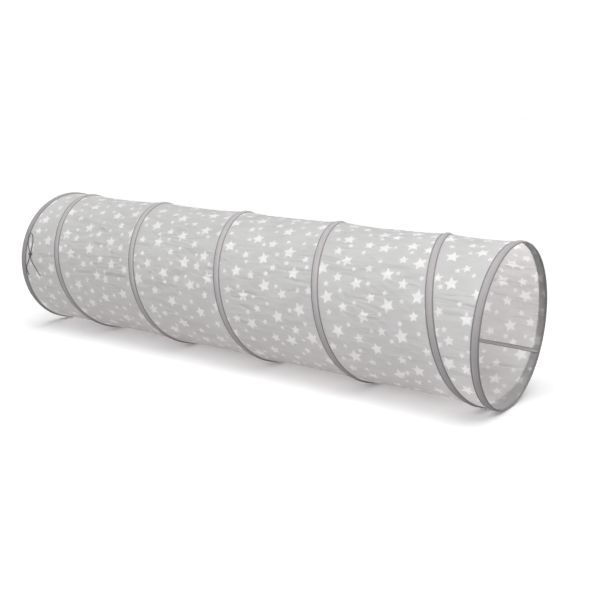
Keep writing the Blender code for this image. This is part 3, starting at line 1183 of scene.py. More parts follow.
@dataclass(frozen=True)
class DrawnSteel:
    """Spring steel wire with fine lines from drawing."""

    colour: Colour = (0.62, 0.62, 0.63)
    dark: float = 0.85
    mottle_scale: float = 60.0
    line_stretch: Triple = (2600.0, 300.0, 300.0)
    least_roughness: float = 0.28
    line_roughness: float = 0.2

    def material(self) -> bpy.types.Material:
        """Builds the steel's material.

        Returns:
            The material.
        """
        material, s = new_material("drawn_spring_steel")
        place = s.call("ShaderNodeTexCoord", {}, "Object")
        lines = s.noise(s.vector("MULTIPLY", place, self.line_stretch))
        mottle = s.noise(place, self.mottle_scale, 4.0)
        colour = s.mix_colour(mottle, solid(self.colour, self.dark), solid(self.colour))
        roughness = s.sum("MULTIPLY_ADD", lines, self.line_roughness, self.least_roughness)
        s.finish(s.skin({"Metallic": 1.0, "Base Color": colour, "Roughness": roughness}))
        return material


# Sewing


@dataclass
class Sewing:
    """Rows of stitches, instanced along lines by Geometry Nodes."""

    thread: bpy.types.Material
    pitch: float = 0.0034
    stitch_length: float = 0.0026
    stitch_radius: float = 0.00028
    bead_segments: int = 5
    bead_rings: int = 4
    least: Triple = (0.85, 0.85, 0.88)
    most: Triple = (1.15, 1.15, 1.06)
    seed: int = 11
    recipe: GeometryRecipe = field(init=False)

    def __post_init__(self) -> None:
        """Builds the tree once, for every row."""
        entries = numbers("Pitch", "Stitch length", "Stitch radius")
        entries += [Entry("Seed", "Int"), Entry("Thread", "Material")]
        self.recipe = GeometryRecipe("stitch_rows", entries)
        s, given = self.recipe.sketch, self.recipe.given
        curve = s.call("GeometryNodeMeshToCurve", {"Mesh": given["Geometry"]})
        even = s.call("GeometryNodeResampleCurve", {"Curve": curve, "Length": given["Pitch"]}, mode="LENGTH")
        points = s.node("GeometryNodeCurveToPoints", mode="EVALUATED")
        s.feed(points.inputs["Curve"], even)
        bead_inputs = {"Segments": self.bead_segments, "Rings": self.bead_rings, "Radius": 1.0}
        half_length = s.sum("MULTIPLY", given["Stitch length"], 0.5)
        size = s.join(given["Stitch radius"], given["Stitch radius"], half_length)
        uneven = s.node("FunctionNodeRandomValue", data_type="FLOAT_VECTOR")
        for socket, value in zip([i for i in uneven.inputs if i.type == "VECTOR"], (self.least, self.most)):
            s.feed(socket, value)
        s.feed(uneven.inputs["Seed"], given["Seed"])
        inputs = {
            "Points": points.outputs["Points"],
            "Instance": s.call("GeometryNodeMeshUVSphere", bead_inputs),
            "Rotation": points.outputs["Rotation"],
            "Scale": s.vector("MULTIPLY", size, next(o for o in uneven.outputs if o.type == "VECTOR")),
        }
        self.recipe.end(s.call("GeometryNodeInstanceOnPoints", inputs), given["Thread"])

    def row(self, name: str, points: np.ndarray) -> bpy.types.Mesh:
        """One row of stitches.

        Args:
            name: Name of the mesh.
            points: The line that the row follows.

        Returns:
            The row's mesh.
        """
        values = {
            "Pitch": self.pitch,
            "Stitch length": self.stitch_length,
            "Stitch radius": self.stitch_radius,
            "Seed": self.seed,
            "Thread": self.thread,
        }
        return self.recipe.run(name, line_mesh(name + "_line", points), values)


# The camera and the tie


@dataclass
class PhotoCamera:
    """The camera at the photograph's place."""

    place: Triple = (1.8645, -2.3724, 0.9278)
    pitch: float = 76.021
    heading: float = 35.312
    lens: float = 55.62
    sensor: float = 36.0

    def build(self) -> bpy.types.Object:
        """Makes the camera and gives it to the scene.

        Returns:
            The camera.
        """
        data = bpy.data.cameras.new("photo_camera")
        data.lens = self.lens
        data.sensor_width = self.sensor
        camera = bpy.data.objects.new("photo_camera", data)
        camera.location = self.place
        camera.rotation_euler = (math.radians(self.pitch), 0.0, math.radians(self.heading))
        bpy.context.scene.collection.objects.link(camera)
        bpy.context.scene.camera = camera
        return camera


# Distance from the left rim, angle round the tunnel, height above the fabric
LEFT_STRAND_ROUTE = (
    (0.0260, 66.0, 0.0035),
    (0.0315, 70.6, 0.0047),
    (0.0425, 74.2, 0.0066),
    (0.0510, 78.0, 0.0067),
    (0.0513, 80.6, 0.0067),
    (0.0490, 83.2, 0.0066),
    (0.0430, 86.6, 0.0066),
    (0.0338, 90.3, 0.0064),
    (0.0355, 94.2, 0.0066),
    (0.0410, 97.6, 0.0067),
)
RIGHT_STRAND_ROUTE = (
    (0.0330, 61.1, 0.0044),
    (0.0455, 62.6, 0.0066),
    (0.0545, 66.4, 0.0066),
    (0.0582, 71.0, 0.0066),
    (0.0572, 74.6, 0.0066),
    (0.0555, 78.0, 0.0067),
    (0.0554, 80.6, 0.0067),
    (0.0592, 83.2, 0.0067),
    (0.0675, 86.0, 0.0069),
    (0.0855, 91.2, 0.0069),
    (0.1050, 96.8, 0.0067),
)


@dataclass
class CordTie:
    """The tie at the left rim: a patch sewn to the tape, the cord's two strands, and their knot."""

    cord: bpy.types.Material
    tape: bpy.types.Material
    sewing: Sewing
    body: str = "left_end"
    radius: float = 0.00175
    pair_gap: float = 0.0006
    point_spacing: float = 0.002
    sides: int = 12
    tab_angle: float = 61.0
    tab_length: float = 0.010
    tab_width: float = 0.005
    tab_thickness: float = 0.0014
    tab_foot: float = 0.004
    tab_round: float = 0.0005
    tack_steps: int = 24
    tack_length: float = 0.86
    tack_reach: float = 0.42
    tack_lift: float = 0.0001
    end_gap: float = 0.0006
    facet: float = 9.0
    knot_spot: Triple = (0.0533, 79.3, 0.0067)
    knot_steps: int = 96
    knot_laps: float = 2.25
    knot_start: float = -0.6
    knot_flat: float = 2.2
    knot_pitch: float = 2.3
    knot_lean: float = 0.0008
    left_length: float = 0.160
    right_length: float = 0.185

    @property
    def tab_x(self) -> float:
        """Middle of the patch along X."""
        return FORM.left_rim + FORM.tape_width - self.tab_foot + FORM.layer_gap + self.tab_width / 2

    @property
    def seat_height(self) -> float:
        """Height of what lies on the rim's tape."""
        return FORM.foot_height + FORM.layer_gap

    def on_facet(self, x: float, height: float, shift: float = 0.0) -> Matrix:
        """Frame on the wall at the patch: X along the tunnel, Y up round it, Z outwards.

        Args:
            x: Place along the tunnel.
            height: Height above the fabric.
            shift: How far down round the wall it lies.

        Returns:
            The frame's matrix.
        """
        middle = round(self.tab_angle / self.facet) * self.facet
        turn = Matrix.Rotation(math.radians(middle), 4, "X")
        outwards, down = turn.col[2].xyz, -turn.col[1].xyz
        flat = FORM.fabric_radius * math.cos(math.radians(self.facet / 2))
        beside = flat * math.tan(math.radians(self.tab_angle - middle)) + shift
        axis = Vector((x, 0, FORM.axis_height))
        return Matrix.Translation(axis + outwards * (flat + height) + down * beside) @ turn

    @staticmethod
    def on_wall(route: Sequence[Triple]) -> list[Vector]:
        """The points of a route.

        Args:
            route: Distances from the left rim, angles and heights.

        Returns:
            The points.
        """
        from_rim, angle, height = np.array(route).T
        return [Vector(point) for point in FORM.place(FORM.left_rim + from_rim, angle, height)]

    def strand(
        self, name: str, starts: list[Vector], route: Sequence[Triple]
    ) -> tuple[bpy.types.Object, np.ndarray]:
        """One strand of the cord.

        Args:
            name: Name of the piece.
            starts: Points where it leaves the patch.
            route: The rest of its route.

        Returns:
            The strand and the points of its centre line.
        """
        path = smooth_path([*starts, *self.on_wall(route)], self.point_spacing)
        LOG.info("%s runs %.4f m", name, run_of(path)[-1])
        obj = show(RoundTube(self.radius, self.sides).mesh(name, path), self.cord)
        return Slot.CORD.settle(obj, self.body), path

    def knot(self) -> bpy.types.Object:
        """The cord drawn tight round both strands.

        Returns:
            The knot.
        """
        middle = self.on_wall([self.knot_spot])[0]
        turned = Matrix.Rotation(math.radians(self.knot_spot[1]), 3, "X")
        along, up, out = (turned.col[n] for n in range(3))
        half = self.radius + self.pair_gap / 2
        wrap = 2 * self.radius + FORM.layer_gap
        points = []
        for share in np.linspace(0, 1, self.knot_steps + 1):
            turn = WHOLE_TURN * self.knot_laps * share + self.knot_start
            side = math.copysign(min(abs(math.cos(turn)) * self.knot_flat, 1.0), math.cos(turn))
            drift = (share - 0.5) * 2 * self.radius * self.knot_pitch
            down = drift + self.knot_lean * math.sin(turn / 2)
            spot = along * (side * half + wrap * math.cos(turn)) + out * (wrap * math.sin(turn)) - up * down
            points.append(middle + spot)
        obj = show(RoundTube(self.radius, self.sides).mesh("tie_wrap", np.array(points)), self.cord)
        return Slot.CORD.settle(obj, self.body, "tie_knot")

    def patch(self) -> bpy.types.Object:
        """The sewn patch that holds the middle of the cord.

        Returns:
            The patch with its close zigzag of thread.
        """
        bm = bmesh.new()
        layer = bm.loops.layers.uv.new(UV_NAME)
        bmesh.ops.create_cube(bm, size=1.0)
        bmesh.ops.scale(bm, vec=(self.tab_width, self.tab_length, self.tab_thickness), verts=bm.verts)
        edges = list(bm.edges)
        bmesh.ops.bevel(bm, geom=edges, offset=self.tab_round, segments=3, affect="EDGES", profile=0.6)
        for face in bm.faces:
            for loop in face.loops:
                loop[layer].uv = (loop.vert.co.y, FORM.tape_width / 2 + loop.vert.co.x)
        mesh = bpy.data.meshes.new("patch_body")
        bm.to_mesh(mesh)
        bm.free()
        mesh.materials.append(self.tape)
        step = np.arange(self.tack_steps + 1)
        side = np.where(step % 2, 1, -1) * self.tab_width * self.tack_reach
        down = (step / self.tack_steps - 0.5) * self.tab_length * self.tack_length
        zigzag = np.stack([side, down, np.full(len(step), self.tab_thickness / 2 + self.tack_lift)], 1)
        whole = merged("tie_patch", [mesh, self.sewing.row("patch_tack", zigzag)])
        whole.transform(self.on_facet(self.tab_x, self.seat_height + self.tab_thickness / 2))
        return Slot.TAPE.settle(show(whole), self.body, "tie_tab")

    def build(self) -> None:
        height = self.seat_height + self.radius
        under = self.tab_length / 2 + self.end_gap
        starts = under, under + 2 * self.radius
        down = [self.on_facet(self.tab_x, height, start).translation for start in starts]
        beside = self.tab_x + self.tab_width / 2 + self.end_gap
        away = [self.on_facet(beside + step, height).translation for step in (0.0, self.radius)]
        left, left_path = self.strand("tie_cord_left", down, LEFT_STRAND_ROUTE)
        right, right_path = self.strand("tie_cord_right", away, RIGHT_STRAND_ROUTE)
        knot = self.knot()
        self.patch()
        for obj, path, node, start, length, extra in (
            (left, left_path, "tie_strand_left", down[0], self.left_length, (knot,)),
            (right, right_path, "tie_strand_right", away[0], self.right_length, ()),
        ):
            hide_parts(node)


# The coil


@dataclass
class CoilSleeve:
    """The coil's sewn sleeve, from under one rim's tape to under the other's."""

    tape: bpy.types.Material
    sewing: Sewing
    fold: Fold
    degrees_per_row: float = 1.5
    columns: int = 23
    tuck: float = 4.0
    stitch_inset: float = 0.0021
    ripple: float = 0.0005
    ripple_scale: float = 34.0
    ripple_middle: float = 0.62
    seed: float = 3.7
    recipe: GeometryRecipe = field(init=False)

    def __post_init__(self) -> None:
        """Builds the tree that lays a grid along the coil."""
        entries = numbers("First angle", "Last angle", "Width", "Ripple", "Ripple scale", "Seed")
        entries += [Entry("Rows", "Int"), Entry("Columns", "Int"), Entry("Tape", "Material")]
        self.recipe = GeometryRecipe("coil_sleeve", entries)
        s, given = self.recipe.sketch, self.recipe.given
        grid = s.call("GeometryNodeMeshGrid", {"Vertices X": given["Columns"], "Vertices Y": given["Rows"]})
        spot_x, spot_y, _ = s.split(s.node("GeometryNodeInputPosition").outputs[0])
        turned = s.sum("SUBTRACT", given["Last angle"], given["First angle"])
        angle = s.sum("MULTIPLY_ADD", s.sum("ADD", spot_y, 0.5), turned, given["First angle"])
        off = s.sum("MULTIPLY", spot_x, given["Width"])
        x = s.sum("ADD", self.coil_place(s, angle), off)
        rim_lanes = FORM.left_rim + FORM.rim_lane, FORM.right_rim - FORM.rim_lane
        near = [s.sum("ABSOLUTE", s.sum("SUBTRACT", x, lane)) for lane in rim_lanes]
        off_lane = s.sum("MINIMUM", s.sum("ABSOLUTE", off), s.sum("MINIMUM", *near))
        rise = s.fade(off_lane, FORM.hump_outer, FORM.hump_inner)
        turn = s.sum("RADIANS", angle)
        arc = s.sum("MULTIPLY", turn, FORM.fabric_radius)
        wobble = s.noise(s.join(x, arc, given["Seed"]), given["Ripple scale"])
        wobble = s.sum("MULTIPLY", s.sum("SUBTRACT", wobble, self.ripple_middle), given["Ripple"])
        lift = s.sum("MULTIPLY_ADD", rise, FORM.tape_rise - FORM.foot_height, FORM.foot_height)
        radius = s.sum("ADD", s.sum("ADD", lift, FORM.fabric_radius), s.sum("MULTIPLY", wobble, rise))
        z = s.sum("MAXIMUM", s.sum("MULTIPLY_ADD", radius, s.sum("COSINE", turn), FORM.axis_height), 0.0)
        y = s.sum("MULTIPLY", s.sum("MULTIPLY", radius, s.sum("SINE", turn)), -1.0)
        uv = s.join(arc, s.sum("ADD", off, FORM.tape_width / 2))
        inputs = {"Geometry": grid, "Name": UV_NAME, "Value": uv}
        mapped = s.call("GeometryNodeStoreNamedAttribute", inputs, data_type="FLOAT2", domain="CORNER")
        laid = s.call("GeometryNodeSetPosition", {"Geometry": mapped, "Position": s.join(x, y, z)})
        outward = s.call("GeometryNodeFlipFaces", {"Mesh": laid})
        self.recipe.end(s.call("GeometryNodeSetShadeSmooth", {"Geometry": outward}), given["Tape"])

    @staticmethod
    def coil_place(s: Sketch, angle: Socket) -> Socket:
        """The coil's place along X, in nodes.

        Args:
            s: The tree's sketch.
            angle: The coil's angle.

        Returns:
            The place's socket.
        """
        after = s.sum("MAXIMUM", s.sum("SUBTRACT", angle, FORM.coil_start), 0.0)
        before = s.sum("MAXIMUM", s.sum("SUBTRACT", FORM.coil_end, angle), 0.0)
        ease_in_and_out = []
        for part in (after, before):
            left = s.sum("MAXIMUM", s.sum("SUBTRACT", FORM.ease, part), 0.0)
            ease_in_and_out.append(s.sum("DIVIDE", s.sum("MULTIPLY", left, left), 2 * FORM.ease))
        run = s.sum("ADD", s.sum("SUBTRACT", after, FORM.ease / 2), s.sum("SUBTRACT", *ease_in_and_out))
        return s.sum("MULTIPLY_ADD", run, FORM.rise, FORM.left_rim + FORM.lane_inset)

    def stitch_line(self, first: float, last: float, off: float) -> np.ndarray:
        """The line of a row of stitches along the sleeve.

        Args:
            first: The coil's angle where it starts.
            last: The angle where it ends.
            off: How far it lies from the sleeve's middle.

        Returns:
            Its points.
        """
        angle = np.linspace(first, last, max(int((last - first) / self.degrees_per_row), 2) + 1)
        x = FORM.coil_x(angle) + off
        off_left, off_right = x - FORM.left_rim - FORM.rim_lane, FORM.right_rim - FORM.rim_lane - x
        rise = FORM.hump(np.minimum(np.abs(off_left), np.abs(off_right)))
        height = FORM.foot_height + (FORM.tape_rise - FORM.foot_height) * rise + FORM.stitch_lift
        return FORM.place(x, angle, height)

    def piece(self, name: str, span: Span) -> bpy.types.Object:
        """One length of the sleeve, with a row of stitches along both its edges.

        Args:
            name: Name of the piece.
            span: Its row of the fold's spans.

        Returns:
            The piece.
        """
        first, last = span[:2]
        values = {
            "First angle": first,
            "Last angle": last,
            "Width": FORM.tape_width,
            "Ripple": self.ripple,
            "Ripple scale": self.ripple_scale,
            "Seed": self.seed,
            "Rows": max(round((last - first) / self.degrees_per_row), 2) + 1,
            "Columns": self.columns,
            "Tape": self.tape,
        }
        start = line_mesh("start", np.zeros((2, 3)))
        band = self.recipe.run(name + "_band", start, values, FORM.tape_thickness)
        off = FORM.tape_width / 2 - self.stitch_inset
        rows = [self.sewing.row(name + "_row", self.stitch_line(first, last, side)) for side in (-off, off)]
        obj = show(merged(name, [band, *rows]))
        Slot.TAPE.on(obj)
        self.fold.attach(obj, span)
        return obj

    def build(self) -> list[bpy.types.Object]:
        """Builds the sleeve.

        Returns:
            Its pieces.
        """
        spans = self.fold.spans(FORM.coil_start + self.tuck, FORM.coil_end - self.tuck)
        pieces = [self.piece(f"coil_tape_{number:02d}", span) for number, span in enumerate(spans, 1)]
        for turn, node in enumerate(FORM.nodes_of("coil_sleeve")):
            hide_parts(node)
        return pieces


@dataclass
class SpringWire:
    """The sprung wire: a closed loop in each rim's tape, and the coil between them."""

    steel: bpy.types.Material
    fold: Fold
    sides: int = 8
    degrees_per_point: float = 3.0
    lane_change: float = 18.0
    join: float = 9.0
    recipe: GeometryRecipe = field(init=False)

    def __post_init__(self) -> None:
        """Builds the tree that runs a round section along a line."""
        entries = [Entry("Wire radius"), Entry("Sides", "Int"), Entry("Steel", "Material")]
        self.recipe = GeometryRecipe("spring_wire", entries)
        s, given = self.recipe.sketch, self.recipe.given
        curve = s.call("GeometryNodeMeshToCurve", {"Mesh": given["Geometry"]})
        section = {"Resolution": given["Sides"], "Radius": given["Wire radius"]}
        ring = s.call("GeometryNodeCurvePrimitiveCircle", section)
        bar = s.call("GeometryNodeCurveToMesh", {"Curve": curve, "Profile Curve": ring, "Fill Caps": True})
        self.recipe.end(s.call("GeometryNodeSetShadeSmooth", {"Geometry": bar}), given["Steel"])

    def line(self, first: float, last: float) -> np.ndarray:
        """The wire's centre line between two angles.

        Args:
            first: The angle where it starts.
            last: The angle where it ends.

        Returns:
            Its points.
        """
        angle = np.linspace(first, last, max(int((last - first) / self.degrees_per_point), 2) + 1)
        left = np.clip((FORM.coil_start - self.join - angle) / self.lane_change, 0, 1)
        right = np.clip((angle - FORM.coil_end - self.join) / self.lane_change, 0, 1)
        x = FORM.coil_x(angle) + FORM.lane_spacing * (right - left)
        return FORM.place(x, angle, FORM.wire_height)

    def build(self) -> list[bpy.types.Object]:
        """Builds the wire.

        Returns:
            Its pieces.
        """
        around = FULL_CIRCLE + 2 * self.join
        values = {"Wire radius": FORM.wire_radius, "Sides": self.sides, "Steel": self.steel}
        pieces = []
        for number, span in enumerate(self.fold.spans(FORM.coil_start - around, FORM.coil_end + around), 1):
            host = line_mesh("wire_line", self.line(*span[:2]))
            obj = show(self.recipe.run(f"wire_{number:02d}", host, values))
            Slot.METAL.on(obj)
            self.fold.attach(obj, span)
            pieces.append(obj)
        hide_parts("spring_wire")
        return pieces


# The rims


class Rim(Enum):
    """The tunnel's two ends, each with the sign of X that leads from its rim into the tunnel."""

    LEFT = 1
    RIGHT = -1

    @property
    def body(self) -> str:
        """The body that the rim rides on."""
        return self.word + "_end"

    @property
    def word(self) -> str:
        """The rim's word in names."""
        return self.name.lower()

    @property
    def x(self) -> float:
        """The rim's place along X."""
        return FORM.left_rim if self is Rim.LEFT else FORM.right_rim

    @property
    def merge(self) -> float:
        """The coil's angle where it parts from the rim."""
        return FORM.coil_start if self is Rim.LEFT else FORM.coil_end


@dataclass
class RimTape:
    """The tape that binds one rim over the wire's end loop, with its end lapped over its start."""

    rim: Rim
    tape: bpy.types.Material
    steel: bpy.types.Material
    sewing: Sewing
    degrees_per_row: float = 1.5
    across: int = 24
    hem_leg: float = 0.004
    hem_map: float = -0.004
    fold_radius: float = 0.0013
    fold_steps: int = 7
    fold_map: float = -0.001
    tuck: float = 4.0
    tuck_fade: float = 1.5
    under_lift: float = 0.0007
    soft_edge: float = 0.0016
    lap_angle: float = 335.0
    lap_length: float = 8.0
    lap_rows: int = 9
    lap_lift: float = 0.0007
    lap_start: float = 0.0004
    lap_inset: float = 0.0002
    lap_edge: float = 0.0012
    lap_drop: float = 0.0008
    lap_shift: float = 0.0007
    lap_rows_at: tuple[float, ...] = (0.15, 0.3)
    lap_row_inset: float = 0.0015
    stitch_insets: tuple[float, ...] = (0.0021, 0.0229)
    stitch_points: int = 241
    ferrule_length: float = 0.012
    ferrule_radius: float = 0.00165
    ferrule_wall: float = 0.00035
    ferrule_sides: int = 24
    ferrule_beside: float = 7.0
    ferrule_bevel: float = 0.00012
    ferrule_pinch: float = 0.93
    ferrule_rows: Stations = (-1, -0.96, -0.5, 0, 0.5, 0.96, 1)
    ferrule_map: float = 0.002

    def at(self, off_rim: Values, angle: Values, height: Values) -> np.ndarray:
        """Points by their distance from the rim, their angle and their height."""
        return FORM.place(self.rim.x + self.rim.value * off_rim, angle, height)

    def coil_angle(self, angle: np.ndarray) -> np.ndarray:
        """The coil's own angle near this rim.

        Args:
            angle: Angles round the tunnel.

        Returns:
            The coil's angles there, within a turn of where it parts from the rim.
        """
        side = self.rim.value
        parted = np.mod(side * (angle - self.rim.merge), FULL_CIRCLE)
        return self.rim.merge + side * parted

    def height(self, off_rim: np.ndarray, angle: np.ndarray) -> np.ndarray:
        """Height of the tape's outside, lifted where the coil's sleeve runs under it.

        Args:
            off_rim: Distances from the rim.
            angle: Angles round the tunnel.

        Returns:
            Heights above the fabric.
        """
        coil = self.coil_angle(angle)
        lane = self.rim.value * (FORM.coil_x(coil) - self.rim.x)
        parted = np.abs(coil - self.rim.merge)
        near = parted < FULL_CIRCLE / 2
        beside = (FORM.tape_width / 2 + self.soft_edge - np.abs(off_rim - lane)) / self.soft_edge
        started = np.clip((parted - self.tuck + self.tuck_fade) / self.tuck_fade, 0, 1)
        under = eased(np.clip(beside, 0, 1)) * started * near
        hump = np.maximum(FORM.hump(off_rim - FORM.rim_lane), FORM.hump(off_rim - lane) * near)
        return FORM.foot_height + (FORM.tape_rise - FORM.foot_height) * hump + self.under_lift * under

    def section(self, angle: float) -> tuple[np.ndarray, np.ndarray, np.ndarray]:
        """The tape's section at an angle: a hem inside, a fold over the fabric's edge, and the face.

        Args:
            angle: The angle round the tunnel.

        Returns:
            Distances from the rim, heights, and places across the tape.
        """
        low = FORM.foot_height - 2 * self.fold_radius
        turn = np.radians(np.linspace(-90, 90, self.fold_steps))
        fold_off = self.fold_radius * (1 - np.cos(turn))
        fold_height = FORM.foot_height - self.fold_radius + self.fold_radius * np.sin(turn)
        face = np.linspace(self.fold_radius, FORM.tape_width, self.across + 1)[1:]
        start = float(self.height(np.array([self.fold_radius]), np.array([angle]))[0]) - FORM.foot_height
        fold_height = fold_height + start * (np.sin(turn) + 1) / 2
        fold_place = np.linspace(self.fold_map, self.fold_radius, self.fold_steps)
        off = np.concatenate([[self.hem_leg + self.fold_radius], fold_off, face])
        height = np.concatenate([[low], fold_height, self.height(face, np.full_like(face, angle))])
        return off, height, np.concatenate([[self.hem_map], fold_place, face])

    def surface(
        self, name: str, points: np.ndarray, places: np.ndarray, closed: bool = False
    ) -> bpy.types.Mesh:
        """A surface of tape as a solid one that faces outwards.

        Args:
            name: Name of the result, after the rim's word.
            points: Rows by columns by 3.
            places: The map, rows by columns by 2.
            closed: True to join the last row to the first.

        Returns:
            The mesh with a wall.
        """
        if self.rim is Rim.RIGHT:
            points, places = points[:, ::-1], places[:, ::-1]
        mesh = grid_mesh(name, points, places, closed)
        return walled(f"{self.rim.word}_{name}", mesh, self.tape, FORM.tape_thickness)

    def band(self) -> bpy.types.Mesh:
        """The tape itself, right round the rim.

        Returns:
            Its mesh with a wall.
        """
        rows = round(FULL_CIRCLE / self.degrees_per_row)
        points, places = [], []
        for row in range(rows + 1):
            angle = FULL_CIRCLE * row / rows
            off, height, place = self.section(angle)
            points.append(self.at(off, angle, height))
            places.append(np.stack([np.full_like(place, FORM.arc(angle)), place], 1))
        return self.surface("band", np.array(points[:-1]), np.array(places), closed=True)

    def lap(self) -> bpy.types.Mesh:
        """The end of the tape, which laps over its start.

        Returns:
            The lap's mesh.
        """
        angles = np.linspace(self.lap_angle, self.lap_angle + self.lap_length, self.lap_rows)
        off = np.linspace(self.lap_start, FORM.tape_width - self.lap_inset, self.across)
        grid_off, grid_angle = np.meshgrid(off, angles)
        drop = self.lap_drop * (1 - np.clip(off / self.lap_edge, 0, 1)) ** 2
        height = self.height(grid_off, grid_angle) + self.lap_lift - drop
        places = np.stack([FORM.arc(grid_angle) + self.lap_shift, grid_off], -1)
        return self.surface("lap", self.at(grid_off, grid_angle, height), places)

    def stitches(self) -> list[bpy.types.Mesh]:
        """Rows of stitches round both edges of the tape, and across its lap.

        Returns:
            The rows.
        """
        rows = []
        angle = np.linspace(0, FULL_CIRCLE, self.stitch_points)
        lapped = (angle > self.lap_angle) & (angle < self.lap_angle + self.lap_length)
        lift = FORM.stitch_lift + self.lap_lift * lapped
        for inset in self.stitch_insets:
            height = self.height(np.full_like(angle, inset), angle) + lift
            rows.append(self.sewing.row(f"{self.rim.word}_rim_row", self.at(inset, angle, height)))
        off = np.linspace(self.lap_row_inset, FORM.tape_width - self.lap_row_inset, self.across)
        for share in self.lap_rows_at:
            angle = np.full_like(off, self.lap_angle + self.lap_length * share)
            height = self.height(off, angle) + self.lap_lift + FORM.stitch_lift
            rows.append(self.sewing.row(f"{self.rim.word}_lap_row", self.at(off, angle, height)))
        return rows

    def ferrule(self) -> bpy.types.Object:
        """The crimped tube that closes the wire's end loop, inside the tape.

        Returns:
            The ferrule.
        """
        side = self.rim.value
        middle = self.rim.merge - side * self.ferrule_beside
        half = FORM.degrees(self.ferrule_length / 2)
        turn = np.linspace(0, WHOLE_TURN, self.ferrule_sides + 1)
        flat = np.sign(np.cos(turn)) * FORM.lane_spacing / 2
        rows = []
        for share in self.ferrule_rows:
            pinch = self.ferrule_pinch if abs(share) == 0.5 else 1.0
            radius = self.ferrule_radius - (self.ferrule_bevel if abs(share) == 1 else 0.0)
            x = self.rim.x + side * FORM.rim_lane + flat + radius * np.cos(turn)
            height = FORM.wire_height + radius * pinch * np.sin(turn)
            rows.append(FORM.place(x, middle + half * share, height))
        places = np.stack(np.meshgrid(turn, np.arange(len(rows), dtype=float)), -1)
        mesh = grid_mesh(f"wire_ferrule_{self.rim.word}", np.array(rows), places * self.ferrule_map)
        bm = bmesh.new()
        bm.from_mesh(mesh)
        bmesh.ops.remove_doubles(bm, verts=bm.verts, dist=0.00001)
        bmesh.ops.recalc_face_normals(bm, faces=bm.faces)
        centre = sum((v.co for v in bm.verts), Vector()) / len(bm.verts)
        if sum(f.normal.dot(f.calc_center_median() - centre) for f in bm.faces) < 0:
            bmesh.ops.reverse_faces(bm, faces=bm.faces)
        bm.to_mesh(mesh)
        bm.free()
        obj = show(mesh, self.steel)
        add_wall(obj, self.ferrule_wall)
        return Slot.METAL.settle(obj, self.rim.body, f"{self.rim.word}_ferrule")

    def build(self) -> list[bpy.types.Object]:
        """Builds the rim.

        Returns:
            Its tape and its ferrule.
        """
        obj = show(merged(f"rim_tape_{self.rim.word}", [self.band(), self.lap(), *self.stitches()]))
        return [Slot.TAPE.settle(obj, self.rim.body, f"{self.rim.word}_rim_tape"), self.ferrule()]


# The fabric


